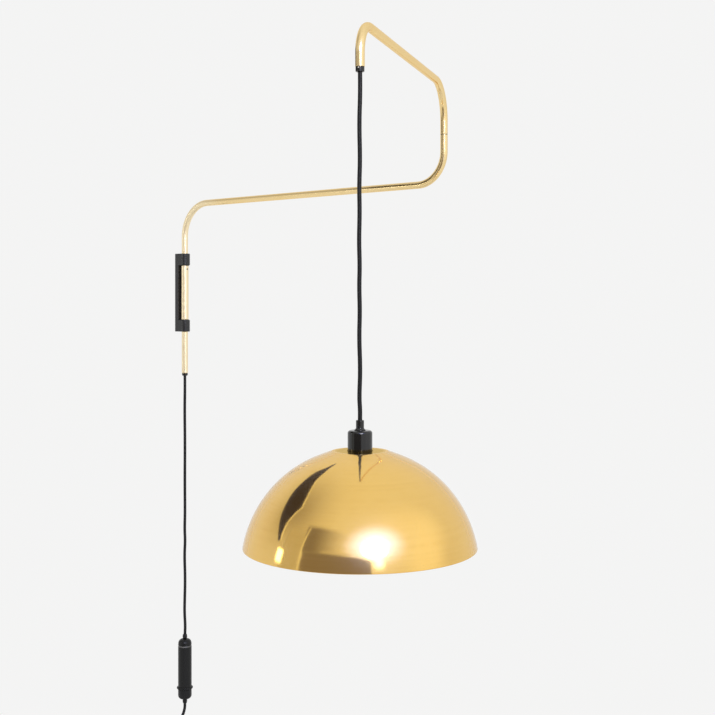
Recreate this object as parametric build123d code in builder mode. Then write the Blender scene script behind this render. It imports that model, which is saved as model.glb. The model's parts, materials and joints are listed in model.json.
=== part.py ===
from build123d import *
import math
import os

# Swing arm wall lamp with a dome pendant and a mains lead with a cord dimmer.
# Millimetres. The origin is the middle of the bracket's back, on the wall plane.
# +Z is up, -Y points into the room and X runs along the wall.

# Wall bracket
bracket_height = 194.0
bracket_width = 25.0
bar_depth = 12.0
bar_gap = 1.0
eye_height = 29.0
bracket_edge = 1.2
window_corner = 0.6
screw_spacing = 90.0
screw_hole = 4.5
screw_head = 9.0

# Clearances between pieces
run_clearance = 0.05
seat_clearance = 0.02
thrust_clearance = 0.15
soft_clearance = 0.3

# Tubes and pivots
tube_diameter = 15.0
tube_wall = 1.0
bush_wall = 1.5
flange_rim = 0.9
flange_thickness = 1.0
sleeve_wall = 1.5
sleeve_screw_diameter = 4.0
sleeve_screw_drop = 8.5
screw_sink = 0.3
spigot_reach = 24.0
spigot_bore = 9.0
washer_step = 0.3
washer_thickness = 1.0

# Lower arm, square to the wall
tube_bottom = -200.0
lower_height = 219.0
lower_reach = 785.5
wall_bend = 80.0
elbow_bend = 65.0
elbow_rise = 99.0

# Upper arm, turned back at the elbow
upper_rise = 99.5
upper_reach = 558.0
upper_bend = 72.0
end_bend = 52.0
end_drop = 73.5
elbow_turn = -68.66

# Black ferrules at the two open tube ends
ferrule_step = 0.4
wall_ferrule_height = 7.0
exit_ferrule_height = 8.0
ferrule_plug = 13.0
ferrule_chamfer = 1.6
exit_screw_diameter = 3.0
exit_screw_rise = 6.2

# Cord, and the swing of the pendant at the mouth of the exit ferrule
cord_diameter = 7.0
cord_hole_clearance = 0.4
swing_depth = 2.5
mouth_flare = 1.0
arc_share = 0.45
pendant_drop = 547.0
pendant_bow = -1.6
pendant_bow_rise = 48.0
pendant_lead_in = 22.0
pendant_lead_bow = -0.5

# Lampholder
grip_diameter = 12.8
grip_height = 16.0
grip_foot_diameter = 18.0
grip_foot_height = 2.2
grip_edge = 1.0
grip_screw_diameter = 4.0
grip_screw_rise = 6.0
cap_height = 34.1
cap_wall = 2.0
cap_edge = 4.5
thread_clearance = 0.5
skirt_wall = 1.8
skirt_drop = 30.0
skirt_engagement = 14.0
ledge_width = 1.0
ledge_height = 2.0
insert_height = 14.0
insert_drop = 2.0
shell_clearance = 0.5
shell_wall = 0.5
shell_height = 20.0
contact_diameter = 9.0
contact_height = 1.5
ring_nut_wall = 6.0
ring_nut_height = 8.0
ring_nut_notches = 12
ring_nut_notch = 3.0

# Dome shade
shade_diameter = 368.0
shade_height = 148.4
shade_flat_radius = 44.2
shade_wall = 1.0
shade_hole_clearance = 0.2
hem_height = 4.0
hem_wall = 2.2

# Bulb with a 27 mm screw cap
bulb_radius = 30.0
bulb_neck_clearance = 0.3
bulb_flare = 40.0
bulb_wall = 1.0
bulb_neck_length = 10.0
bulb_cap_radius = 13.2
bulb_cap_wall = 0.5
bulb_cap_edge = 1.0
bulb_cap_height = 21.0
insulator_height = 4.0
tip_radius = 4.8
tip_height = 1.5

# Cord dimmer
dimmer_drop = 643.4
dimmer_diameter = 33.5
dimmer_length = 149.0
dimmer_cap_height = 15.5
dimmer_cap_round = 11.0
dimmer_end_round = 9.0
dimmer_groove = 0.8
dimmer_neck_step = 6.0
dimmer_grip_diameter = 11.4
dimmer_grip_height = 11.5
dimmer_grip_lip = 0.8
wheel_step = 3.0
wheel_thickness = 7.0
wheel_rim = 2.4
wheel_rise = 27.7
wheel_notches = 20
wheel_notch = 2.4

# Mains lead below the dimmer, put away in a tied coil
coil_radius = 43.0
coil_pitch = 7.6
coil_layer_pitch = 7.6
coil_half_turns = 4
tie_width = 8.0
tie_wall = 1.2
tie_clearance = 0.5

# Flat two-pin plug
plug_width = 35.3
plug_thickness = 13.7
plug_body_height = 17.0
plug_taper_height = 18.0
plug_relief_diameter = 10.6
plug_relief_height = 14.0
plug_relief_rings = 3
plug_relief_groove = 1.0
plug_shoulder_width = 14.6
pin_diameter = 4.0
pin_length = 19.0
pin_spacing = 18.6
pin_tip_flat = 0.8

# Places worked out from the sizes above
half_height = bracket_height / 2
tube_radius = tube_diameter / 2
tube_bore = tube_radius - tube_wall
bush_radius = tube_radius + run_clearance + bush_wall
flange_radius = bush_radius + flange_rim
sleeve_radius = tube_radius + sleeve_wall
ferrule_radius = tube_radius - ferrule_step
axis_offset = bar_depth + bar_gap + flange_radius
cord_radius = cord_diameter / 2
cord_hole = cord_radius + cord_hole_clearance
seam_height = lower_height + elbow_rise
upper_height = seam_height + upper_rise
elbow_y = -axis_offset - lower_reach
upper_heading = -90.0 + elbow_turn
pendant_x = upper_reach * math.cos(math.radians(upper_heading))
pendant_y = elbow_y + upper_reach * math.sin(math.radians(upper_heading))
upper_tube_end = upper_height - end_drop
mouth_height = upper_tube_end - exit_ferrule_height
swing_height = mouth_height + swing_depth
grip_top = mouth_height - pendant_drop
cap_top = grip_top - grip_height
shade_top = cap_top - cap_height
shade_rim = shade_top - shade_height
ferrule_bottom = tube_bottom - wall_ferrule_height
dimmer_grip_top = ferrule_bottom - dimmer_drop
dimmer_top = dimmer_grip_top - dimmer_grip_height
dimmer_bottom = dimmer_top - dimmer_length
wheel_height = dimmer_bottom + wheel_rise
lead_exit = dimmer_bottom - dimmer_grip_height

# Each arm lies in an upright plane, with x along its reach and y up
lower_plane = Plane(origin=(0, -axis_offset, 0), x_dir=(0, -1, 0), z_dir=(-1, 0, 0))
upper_x_dir = Vector(1, 0, 0).rotate(Axis.Z, upper_heading)
upper_plane = Plane(origin=(0, elbow_y, 0), x_dir=upper_x_dir, z_dir=upper_x_dir.cross(Vector(0, 0, 1)))

# Turned pieces are revolved about these upright axes, with x outwards and y up
wall_plane = Plane(origin=(0, -axis_offset, 0), x_dir=(1, 0, 0), z_dir=(0, -1, 0))
elbow_plane = Plane(origin=(0, elbow_y, 0), x_dir=(1, 0, 0), z_dir=(0, -1, 0))
pendant_plane = Plane(origin=(pendant_x, pendant_y, 0), x_dir=(1, 0, 0), z_dir=(0, -1, 0))
wall_axis = Axis((0, -axis_offset, 0), (0, 0, 1))
elbow_axis = Axis((0, elbow_y, 0), (0, 0, 1))
pendant_axis = Axis((pendant_x, pendant_y, 0), (0, 0, 1))

pieces = {}


def corner_radii(points):
    """The largest easy arc at each corner of a cord's route, from its shorter run."""
    places = [Vector(*p) for p in points]
    radii = []
    for before, here, after in zip(places, places[1:], places[2:]):
        turn = math.radians((here - before).get_angle(after - here))
        shorter = min((here - before).length, (after - here).length)
        radii.append(arc_share * shorter / math.tan(turn / 2))
    return radii


def cord_path(name, points):
    """A cord's centre line: straight runs joined by arcs, with its radii printed."""
    radii = corner_radii(points)
    with BuildLine() as line:
        FilletPolyline(*points, radius=radii)
    path = line.wire()
    print(name, "length", round(path.length, 1), "radii", [round(r, 1) for r in radii])
    return path


# Wall bracket: an upright bar with an eye at each end, as one C-shaped casting
with BuildPart() as wall_bracket:
    with BuildSketch(Plane.XY.offset(-half_height)):
        with Locations((0, -axis_offset / 2)):
            Rectangle(bracket_width, axis_offset)
        with Locations((0, -axis_offset)):
            Circle(bracket_width / 2)
    extrude(amount=bracket_height)
    rim = wall_bracket.edges().filter_by(Plane.XY).filter_by(lambda e: e.center().Y < -0.01)
    fillet(rim, radius=bracket_edge)
    window_depth = axis_offset + bracket_width / 2 - bar_depth
    with BuildSketch(Plane.YZ.offset(-bracket_width / 2)):
        with Locations((-bar_depth - window_depth / 2, 0)):
            Rectangle(window_depth, bracket_height - 2 * eye_height)
    extrude(amount=bracket_width, mode=Mode.SUBTRACT)
    inner = wall_bracket.edges().filter_by(Axis.X).filter_by(lambda e: abs(e.center().Y + bar_depth) < 0.01)
    fillet(inner, radius=window_corner)
    with BuildSketch(Plane.XY.offset(-half_height)):
        with Locations((0, -axis_offset)):
            Circle(bush_radius + seat_clearance)
    extrude(amount=bracket_height, mode=Mode.SUBTRACT)
    with Locations(Plane(origin=(0, -bar_depth, 0), x_dir=(1, 0, 0), z_dir=(0, -1, 0))):
        with GridLocations(screw_spacing, screw_spacing, 1, 2):
            CounterSinkHole(screw_hole / 2, screw_head / 2, depth=bar_depth, counter_sink_angle=90)
pieces["wall_bracket"] = wall_bracket

# Plastic bushes: a liner in each eye, with a flange towards the sleeve
eye_inner = half_height - eye_height
with BuildPart() as upper_bush:
    with BuildSketch(wall_plane):
        with BuildLine():
            Polyline(
                (tube_radius + run_clearance, half_height),
                (bush_radius, half_height),
                (bush_radius, eye_inner),
                (flange_radius, eye_inner),
                (flange_radius, eye_inner - flange_thickness),
                (tube_radius + run_clearance, eye_inner - flange_thickness),
                close=True,
            )
        make_face()
    revolve(axis=wall_axis)
pieces["upper_bush"] = upper_bush

with BuildPart() as lower_bush:
    mirror(upper_bush.part, about=Plane.XY)
pieces["lower_bush"] = lower_bush

# Lower arm: one tube from below the bracket, out from the wall and up to the elbow
lower_top = seam_height - washer_thickness / 2
sleeve_screw_height = eye_inner - flange_thickness - thrust_clearance - sleeve_screw_drop
screw_plane = Plane(origin=(0, -axis_offset, sleeve_screw_height), x_dir=(1, 0, 0), z_dir=(0, -1, 0))
with BuildPart() as lower_arm:
    with BuildLine(lower_plane) as lower_path:
        FilletPolyline(
            (0, tube_bottom),
            (0, lower_height),
            (lower_reach, lower_height),
            (lower_reach, lower_top),
            radius=(wall_bend, elbow_bend),
        )
    with BuildSketch(Plane(origin=lower_path.line @ 0, z_dir=lower_path.line % 0)):
        Circle(tube_radius)
        Circle(tube_bore, mode=Mode.SUBTRACT)
    sweep(path=lower_path.line)
    with BuildSketch(screw_plane):
        Circle(sleeve_screw_diameter / 2 + seat_clearance)
    extrude(amount=tube_diameter, mode=Mode.SUBTRACT)
pieces["lower_arm"] = lower_arm

# Brass sleeve on the tube between the eyes, pinned by a grub screw that faces the room
sleeve_half = eye_inner - flange_thickness - thrust_clearance
with BuildPart() as pivot_sleeve:
    with BuildSketch(Plane.XY.offset(-sleeve_half)):
        with Locations((0, -axis_offset)):
            Circle(sleeve_radius)
            Circle(tube_radius + seat_clearance, mode=Mode.SUBTRACT)
    extrude(amount=2 * sleeve_half)
    with BuildSketch(screw_plane):
        Circle(sleeve_screw_diameter / 2 + seat_clearance)
    extrude(amount=2 * sleeve_radius, mode=Mode.SUBTRACT)
pieces["pivot_sleeve"] = pivot_sleeve

screw_seat = tube_bore + tube_wall / 4
screw_length = sleeve_radius - screw_seat - screw_sink
with BuildPart() as sleeve_screw:
    with BuildSketch(screw_plane.offset(screw_seat)):
        Circle(sleeve_screw_diameter / 2)
    extrude(amount=screw_length)
    with BuildSketch(screw_plane.offset(screw_seat + screw_length)):
        RegularPolygon(sleeve_screw_diameter / 4, 6, major_radius=False)
    extrude(amount=-screw_length / 2, mode=Mode.SUBTRACT)
pieces["sleeve_screw"] = sleeve_screw

# Black ferrule that closes the lower end of the tube round the mains cord
with BuildPart() as wall_ferrule:
    with BuildSketch(wall_plane):
        with BuildLine():
            Polyline(
                (cord_hole, ferrule_bottom),
                (ferrule_radius - ferrule_chamfer, ferrule_bottom),
                (ferrule_radius, ferrule_bottom + ferrule_chamfer),
                (ferrule_radius, tube_bottom),
                (tube_bore - seat_clearance, tube_bottom),
                (tube_bore - seat_clearance, tube_bottom + ferrule_plug),
                (cord_hole, tube_bottom + ferrule_plug),
                close=True,
            )
        make_face()
    revolve(axis=wall_axis)
pieces["wall_ferrule"] = wall_ferrule

# Hollow elbow pin: held in the lower arm, and the upper arm turns on it
with BuildPart() as elbow_pin:
    with BuildSketch(elbow_plane):
        with BuildLine():
            Polyline(
                (spigot_bore / 2, lower_top - spigot_reach),
                (tube_bore - seat_clearance, lower_top - spigot_reach),
                (tube_bore - seat_clearance, lower_top),
                (tube_bore - run_clearance, lower_top),
                (tube_bore - run_clearance, lower_top + spigot_reach),
                (spigot_bore / 2, lower_top + spigot_reach),
                close=True,
            )
        make_face()
    revolve(axis=elbow_axis)
pieces["elbow_pin"] = elbow_pin

with BuildPart() as elbow_washer:
    with BuildSketch(Plane.XY.offset(lower_top)):
        with Locations((0, elbow_y)):
            Circle(tube_radius - washer_step)
            Circle(tube_bore, mode=Mode.SUBTRACT)
    extrude(amount=washer_thickness)
pieces["elbow_washer"] = elbow_washer

# Flex inside the lower arm
with BuildPart() as lower_flex:
    with BuildLine(lower_plane) as lower_flex_path:
        FilletPolyline(
            (0, ferrule_bottom),
            (0, lower_height),
            (lower_reach, lower_height),
            (lower_reach, seam_height),
            radius=(wall_bend, elbow_bend),
        )
    with BuildSketch(Plane(origin=lower_flex_path.line @ 0, z_dir=lower_flex_path.line % 0)):
        Circle(cord_radius)
    sweep(path=lower_flex_path.line)
pieces["lower_flex"] = lower_flex

# Upper arm: from the elbow seam up, back along its reach and down at the end
upper_bottom = lower_top + washer_thickness + thrust_clearance
with BuildPart() as upper_arm:
    with BuildLine(upper_plane) as upper_path:
        FilletPolyline(
            (0, upper_bottom),
            (0, upper_height),
            (upper_reach, upper_height),
            (upper_reach, upper_tube_end),
            radius=(upper_bend, end_bend),
        )
    with BuildSketch(Plane(origin=upper_path.line @ 0, z_dir=upper_path.line % 0)):
        Circle(tube_radius)
        Circle(tube_bore, mode=Mode.SUBTRACT)
    sweep(path=upper_path.line)
pieces["upper_arm"] = upper_arm

# Black ferrule at the end of the upper arm, with a flared mouth for the swinging cord
exit_screw_plane = Plane(
    origin=(pendant_x, pendant_y, mouth_height + exit_screw_rise),
    x_dir=(0, 0, 1),
    z_dir=upper_x_dir,
)
with BuildPart() as exit_ferrule:
    with BuildSketch(pendant_plane):
        with BuildLine():
            Polyline(
                (cord_hole + mouth_flare, mouth_height),
                (ferrule_radius, mouth_height),
                (ferrule_radius, upper_tube_end),
                (tube_bore - seat_clearance, upper_tube_end),
                (tube_bore - seat_clearance, upper_tube_end + ferrule_plug),
                (cord_hole, upper_tube_end + ferrule_plug),
                (cord_hole, swing_height),
                close=True,
            )
        make_face()
    revolve(axis=pendant_axis)
    with BuildSketch(exit_screw_plane):
        Circle(exit_screw_diameter / 2 + seat_clearance)
    extrude(amount=2 * ferrule_radius, mode=Mode.SUBTRACT)
pieces["exit_ferrule"] = exit_ferrule

exit_screw_length = ferrule_radius - cord_hole - screw_sink
with BuildPart() as exit_screw:
    with BuildSketch(exit_screw_plane.offset(cord_hole)):
        Circle(exit_screw_diameter / 2)
    extrude(amount=exit_screw_length)
    with BuildSketch(exit_screw_plane.offset(cord_hole + exit_screw_length)):
        RegularPolygon(exit_screw_diameter / 4, 6, major_radius=False)
    extrude(amount=-exit_screw_length / 2, mode=Mode.SUBTRACT)
pieces["exit_screw"] = exit_screw

# Flex inside the upper arm, ending just above the swinging cord
with BuildPart() as upper_flex:
    with BuildLine(upper_plane) as upper_flex_path:
        FilletPolyline(
            (0, seam_height + soft_clearance),
            (0, upper_height),
            (upper_reach, upper_height),
            (upper_reach, swing_height + cord_radius + soft_clearance),
            radius=(upper_bend, end_bend),
        )
    with BuildSketch(Plane(origin=upper_flex_path.line @ 0, z_dir=upper_flex_path.line % 0)):
        Circle(cord_radius)
    sweep(path=upper_flex_path.line)
pieces["upper_flex"] = upper_flex

# Pendant cord: it carries the shade, so it hangs straight and bends a little into its grip
cord_end = cap_top - cap_wall
pendant_route = [
    (pendant_x, pendant_y, swing_height),
    (pendant_x + pendant_bow, pendant_y, grip_top + pendant_bow_rise),
    (pendant_x + pendant_lead_bow, pendant_y, grip_top + pendant_lead_in),
    (pendant_x, pendant_y, grip_top),
    (pendant_x, pendant_y, cord_end),
]
pendant_line = cord_path("pendant_cord", pendant_route)
with BuildPart() as pendant_cord:
    with BuildSketch(Plane(origin=pendant_line @ 0, z_dir=pendant_line % 0)):
        Circle(cord_radius)
    sweep(path=pendant_line)
    with Locations((pendant_x, pendant_y, swing_height)):
        Sphere(cord_radius)
pieces["pendant_cord"] = pendant_cord

# Cord grip on top of the lampholder, with its side screw
grip_screw_plane = Plane(
    origin=(pendant_x, pendant_y, cap_top + grip_screw_rise),
    x_dir=(0, 0, 1),
    z_dir=upper_x_dir,
)
with BuildPart() as cord_grip:
    with BuildSketch(pendant_plane):
        with BuildLine():
            Polyline(
                (cord_hole, cap_top),
                (grip_foot_diameter / 2, cap_top),
                (grip_diameter / 2, cap_top + grip_foot_height),
                (grip_diameter / 2, grip_top - grip_edge),
                (grip_diameter / 2 - grip_edge, grip_top),
                (cord_hole, grip_top),
                close=True,
            )
        make_face()
    revolve(axis=pendant_axis)
    with BuildSketch(grip_screw_plane):
        Circle(grip_screw_diameter / 2 + seat_clearance)
    extrude(amount=grip_diameter, mode=Mode.SUBTRACT)
pieces["cord_grip"] = cord_grip

with BuildPart() as grip_screw:
    with BuildSketch(grip_screw_plane.offset(cord_hole)):
        Circle(grip_screw_diameter / 2)
    extrude(amount=grip_diameter / 2 - cord_hole)
    with BuildSketch(grip_screw_plane.offset(grip_diameter / 2)):
        Rectangle(grip_screw_diameter, grip_screw_diameter / 5)
    extrude(amount=-(grip_diameter / 2 - cord_hole) / 2, mode=Mode.SUBTRACT)
pieces["grip_screw"] = grip_screw

# The lampholder is sized outwards from the bulb's screw cap
shell_radius = bulb_cap_radius + shell_clearance + shell_wall
skirt_bore = shell_radius + ledge_width
skirt_radius = skirt_bore + skirt_wall
cap_bore = skirt_radius + thread_clearance
cap_radius = cap_bore + cap_wall
nut_radius = skirt_radius + ring_nut_wall

# Lampholder cap: a black cup that stands on the shade's flat top
with BuildPart() as lampholder_cap:
    with BuildSketch(Plane.XY.offset(shade_top)):
        with Locations((pendant_x, pendant_y)):
            Circle(cap_radius)
    extrude(amount=cap_height)
    fillet(lampholder_cap.edges().group_by(Axis.Z)[-1], radius=cap_edge)
    with BuildSketch(Plane.XY.offset(shade_top)):
        with Locations((pendant_x, pendant_y)):
            Circle(cap_bore)
    extrude(amount=cap_height - cap_wall, mode=Mode.SUBTRACT)
    with BuildSketch(Plane.XY.offset(shade_top)):
        with Locations((pendant_x, pendant_y)):
            Circle(cord_hole)
    extrude(amount=cap_height, mode=Mode.SUBTRACT)
pieces["lampholder_cap"] = lampholder_cap

# Lampholder skirt: it screws into the cap, passes through the shade and holds the insert
insert_bottom = shade_top - insert_drop
with BuildPart() as lampholder_skirt:
    with BuildSketch(pendant_plane):
        with BuildLine():
            Polyline(
                (skirt_bore, shade_top - skirt_drop),
                (skirt_radius, shade_top - skirt_drop),
                (skirt_radius, shade_top + skirt_engagement),
                (skirt_bore, shade_top + skirt_engagement),
                (skirt_bore, insert_bottom),
                (shell_radius + seat_clearance, insert_bottom),
                (shell_radius + seat_clearance, insert_bottom - ledge_height),
                (skirt_bore, insert_bottom - ledge_height),
                close=True,
            )
        make_face()
    revolve(axis=pendant_axis)
pieces["lampholder_skirt"] = lampholder_skirt

with BuildPart() as lampholder_insert:
    with BuildSketch(Plane.XY.offset(insert_bottom)):
        with Locations((pendant_x, pendant_y)):
            Circle(skirt_bore - seat_clearance)
            with GridLocations(skirt_bore, skirt_bore, 2, 1):
                Circle(cord_radius / 2, mode=Mode.SUBTRACT)
    extrude(amount=insert_height)
pieces["lampholder_insert"] = lampholder_insert

with BuildPart() as screw_shell:
    with BuildSketch(Plane.XY.offset(insert_bottom - shell_height)):
        with Locations((pendant_x, pendant_y)):
            Circle(shell_radius)
            Circle(shell_radius - shell_wall, mode=Mode.SUBTRACT)
    extrude(amount=shell_height)
pieces["screw_shell"] = screw_shell

contact_bottom = insert_bottom - contact_height
with BuildPart() as centre_contact:
    with BuildSketch(Plane.XY.offset(contact_bottom)):
        with Locations((pendant_x, pendant_y)):
            Circle(contact_diameter / 2)
    extrude(amount=contact_height)
pieces["centre_contact"] = centre_contact

# Ring nut that clamps the shade from below, notched for the fingers
nut_top = shade_top - shade_wall
with BuildPart() as shade_ring:
    with BuildSketch(Plane.XY.offset(nut_top - ring_nut_height)):
        with Locations((pendant_x, pendant_y)):
            Circle(nut_radius)
            Circle(skirt_radius + seat_clearance, mode=Mode.SUBTRACT)
            with PolarLocations(nut_radius, ring_nut_notches):
                Circle(ring_nut_notch / 2, mode=Mode.SUBTRACT)
    extrude(amount=ring_nut_height)
pieces["shade_ring"] = shade_ring

# Dome shade: a spun spherical cap with a flat top and a hemmed rim
dome_centre = (shade_height**2 + shade_flat_radius**2 - (shade_diameter / 2) ** 2) / (2 * shade_height)
dome_radius = math.hypot(shade_diameter / 2, dome_centre)
dome_inner = dome_radius - shade_wall
inner_flat = math.sqrt(dome_inner**2 - (shade_height - shade_wall - dome_centre) ** 2)
hem_top = math.sqrt(dome_inner**2 - (hem_height - dome_centre) ** 2)


def dome_point(radius, height):
    """A point of the dome's section at a height above its rim."""
    return (math.sqrt(radius**2 - (height - dome_centre) ** 2), shade_rim + height)


with BuildPart() as shade:
    with BuildSketch(pendant_plane):
        with BuildLine():
            outer = ThreePointArc(
                dome_point(dome_radius, 0),
                dome_point(dome_radius, shade_height / 2),
                (shade_flat_radius, shade_top),
            )
            top = Line(outer @ 1, (skirt_radius + shade_hole_clearance, shade_top))
            hole = Line(top @ 1, (skirt_radius + shade_hole_clearance, shade_top - shade_wall))
            under = Line(hole @ 1, (inner_flat, shade_top - shade_wall))
            inner_arc = ThreePointArc(
                under @ 1,
                dome_point(dome_inner, shade_height / 2),
                (hem_top, shade_rim + hem_height),
            )
            hem_side = shade_diameter / 2 - hem_wall
            ledge = Line(inner_arc @ 1, (hem_side, shade_rim + hem_height))
            hem = Line(ledge @ 1, (hem_side, shade_rim))
            Line(hem @ 1, outer @ 0)
        make_face()
    revolve(axis=pendant_axis)
pieces["shade"] = shade

# Bulb, from its tip contact down
tip_top = contact_bottom
insulator_top = tip_top - tip_height
bulb_cap_top = insulator_top - insulator_height
bulb_cap_bottom = bulb_cap_top - bulb_cap_height
with BuildPart() as bulb_tip:
    with BuildSketch(Plane.XY.offset(insulator_top)):
        with Locations((pendant_x, pendant_y)):
            Circle(tip_radius)
    extrude(amount=tip_height)
    fillet(bulb_tip.edges().group_by(Axis.Z)[-1], radius=tip_height / 2)
pieces["bulb_tip"] = bulb_tip

with BuildPart() as bulb_insulator:
    with BuildSketch(pendant_plane):
        with BuildLine():
            Polyline(
                (0, bulb_cap_top),
                (bulb_cap_radius - bulb_cap_wall - bulb_cap_edge, bulb_cap_top),
                (tip_radius, insulator_top),
                (0, insulator_top),
                close=True,
            )
        make_face()
    revolve(axis=pendant_axis)
pieces["bulb_insulator"] = bulb_insulator

with BuildPart() as bulb_cap:
    with BuildSketch(pendant_plane):
        with BuildLine():
            Polyline(
                (0, bulb_cap_top),
                (bulb_cap_radius - bulb_cap_edge, bulb_cap_top),
                (bulb_cap_radius, bulb_cap_top - bulb_cap_edge),
                (bulb_cap_radius, bulb_cap_bottom),
                (bulb_cap_radius - bulb_cap_wall, bulb_cap_bottom),
                (bulb_cap_radius - bulb_cap_wall, bulb_cap_top - bulb_cap_edge),
                (0, bulb_cap_top - bulb_cap_edge),
                close=True,
            )
        make_face()
    revolve(axis=pendant_axis)
pieces["bulb_cap"] = bulb_cap

# Bulb glass: a thin ball that flares into its neck, which sits inside the cap
bulb_neck_radius = bulb_cap_radius - bulb_cap_wall - bulb_neck_clearance
flare_drop = math.sqrt((bulb_radius + bulb_flare) ** 2 - (bulb_neck_radius + bulb_flare) ** 2)
flare_angle = math.degrees(math.atan2(flare_drop, bulb_neck_radius + bulb_flare))
neck_bottom = bulb_cap_bottom
neck_top = neck_bottom + bulb_neck_length
neck_inside = bulb_neck_radius - bulb_wall
ball_inside = bulb_radius - bulb_wall
with BuildPart() as bulb_glass:
    with BuildSketch(pendant_plane):
        with BuildLine():
            neck = Line((bulb_neck_radius, neck_top), (bulb_neck_radius, neck_bottom))
            flare = JernArc(neck @ 1, neck % 1, bulb_flare, flare_angle)
            ball = JernArc(flare @ 1, flare % 1, bulb_radius, -(90 + flare_angle))
            inner_neck = Line((neck_inside, neck_top), (neck_inside, neck_bottom))
            inner_flare = JernArc(inner_neck @ 1, inner_neck % 1, bulb_flare + bulb_wall, flare_angle)
            inner_ball = JernArc(inner_flare @ 1, inner_flare % 1, ball_inside, -(90 + flare_angle))
            Line(neck @ 0, inner_neck @ 0)
            Line(ball @ 1, inner_ball @ 1)
        make_face()
    revolve(axis=pendant_axis)
pieces["bulb_glass"] = bulb_glass

# Mains cord from the lower tube end to the dimmer, pulled straight by the dimmer's weight
with BuildPart() as wall_cord:
    with BuildSketch(Plane.XY.offset(dimmer_grip_top)):
        with Locations((0, -axis_offset)):
            Circle(cord_radius)
    extrude(amount=dimmer_drop - soft_clearance)
print("wall_cord length", dimmer_drop)
pieces["wall_cord"] = wall_cord


def grip_outline(low, high):
    """The half section of a dimmer's cord grip: a rounded nut round the cord."""
    waist = dimmer_grip_diameter / 2
    end = cord_radius + dimmer_grip_lip
    with BuildSketch(wall_plane) as outline:
        with BuildLine():
            Polyline((end, high), (0, high), (0, low), (end, low))
            ThreePointArc((end, low), (waist, (low + high) / 2), (end, high))
        make_face()
    return outline.sketch


with BuildPart() as dimmer_top_grip:
    revolve(grip_outline(dimmer_top, dimmer_grip_top), axis=wall_axis)
pieces["dimmer_top_grip"] = dimmer_top_grip

with BuildPart() as dimmer_bottom_grip:
    revolve(grip_outline(lead_exit, dimmer_bottom), axis=wall_axis)
pieces["dimmer_bottom_grip"] = dimmer_bottom_grip

# Dimmer: a domed cap, a long barrel with a neck for the wheel, and a rounded end
dimmer_radius = dimmer_diameter / 2
dimmer_neck = dimmer_radius - dimmer_neck_step
wheel_radius = dimmer_radius + wheel_step
cap_seam = dimmer_top - dimmer_cap_height
wheel_top = wheel_height + wheel_thickness / 2
wheel_bottom = wheel_height - wheel_thickness / 2
with BuildPart() as dimmer_cap:
    with BuildSketch(Plane.XY.offset(cap_seam)):
        with Locations((0, -axis_offset)):
            Circle(dimmer_radius)
    extrude(amount=dimmer_cap_height)
    fillet(dimmer_cap.edges().group_by(Axis.Z)[-1], radius=dimmer_cap_round)
    chamfer(dimmer_cap.edges().group_by(Axis.Z)[0], length=dimmer_groove)
pieces["dimmer_cap"] = dimmer_cap

with BuildPart() as dimmer_barrel:
    with BuildSketch(Plane.XY.offset(wheel_top + thrust_clearance)):
        with Locations((0, -axis_offset)):
            Circle(dimmer_radius)
    extrude(amount=cap_seam - wheel_top - thrust_clearance)
    chamfer(dimmer_barrel.edges().group_by(Axis.Z)[-1], length=dimmer_groove)
    with BuildSketch(Plane.XY.offset(wheel_bottom - thrust_clearance)):
        with Locations((0, -axis_offset)):
            Circle(dimmer_neck)
    extrude(amount=wheel_thickness + 2 * thrust_clearance)
pieces["dimmer_barrel"] = dimmer_barrel

with BuildPart() as dimmer_end:
    with BuildSketch(Plane.XY.offset(dimmer_bottom)):
        with Locations((0, -axis_offset)):
            Circle(dimmer_radius)
    extrude(amount=wheel_bottom - thrust_clearance - dimmer_bottom)
    fillet(dimmer_end.edges().group_by(Axis.Z)[0], radius=dimmer_end_round)
pieces["dimmer_end"] = dimmer_end

# Thumb wheel of the dimmer, with a pointed and notched rim
with BuildPart() as dimmer_wheel:
    with BuildSketch(wall_plane):
        with BuildLine():
            Polyline(
                (dimmer_neck + run_clearance, wheel_bottom),
                (dimmer_radius, wheel_bottom),
                (wheel_radius, wheel_height - wheel_rim / 2),
                (wheel_radius, wheel_height + wheel_rim / 2),
                (dimmer_radius, wheel_top),
                (dimmer_neck + run_clearance, wheel_top),
                close=True,
            )
        make_face()
    revolve(axis=wall_axis)
    with BuildSketch(Plane.XY.offset(wheel_bottom)):
        with Locations((0, -axis_offset)):
            with PolarLocations(wheel_radius, wheel_notches):
                Circle(wheel_notch / 2)
    extrude(amount=wheel_thickness, mode=Mode.SUBTRACT)
pieces["dimmer_wheel"] = dimmer_wheel

# Mains lead: it leaves the dimmer downwards, swings aside and runs down into the coil
lead_steps = [
    (0, 0),
    (0, -12),
    (-5.5, -26),
    (-18.5, -43),
    (-34.5, -63),
    (-43, -81.5),
    (-43, -97),
]
lead_route = [(x, -axis_offset, lead_exit + z) for x, z in lead_steps]
lead_line = cord_path("lead", lead_route)
with BuildPart() as lead:
    with BuildSketch(Plane(origin=lead_line @ 0, z_dir=lead_line % 0)):
        Circle(cord_radius)
    sweep(path=lead_line)
pieces["lead"] = lead

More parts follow.
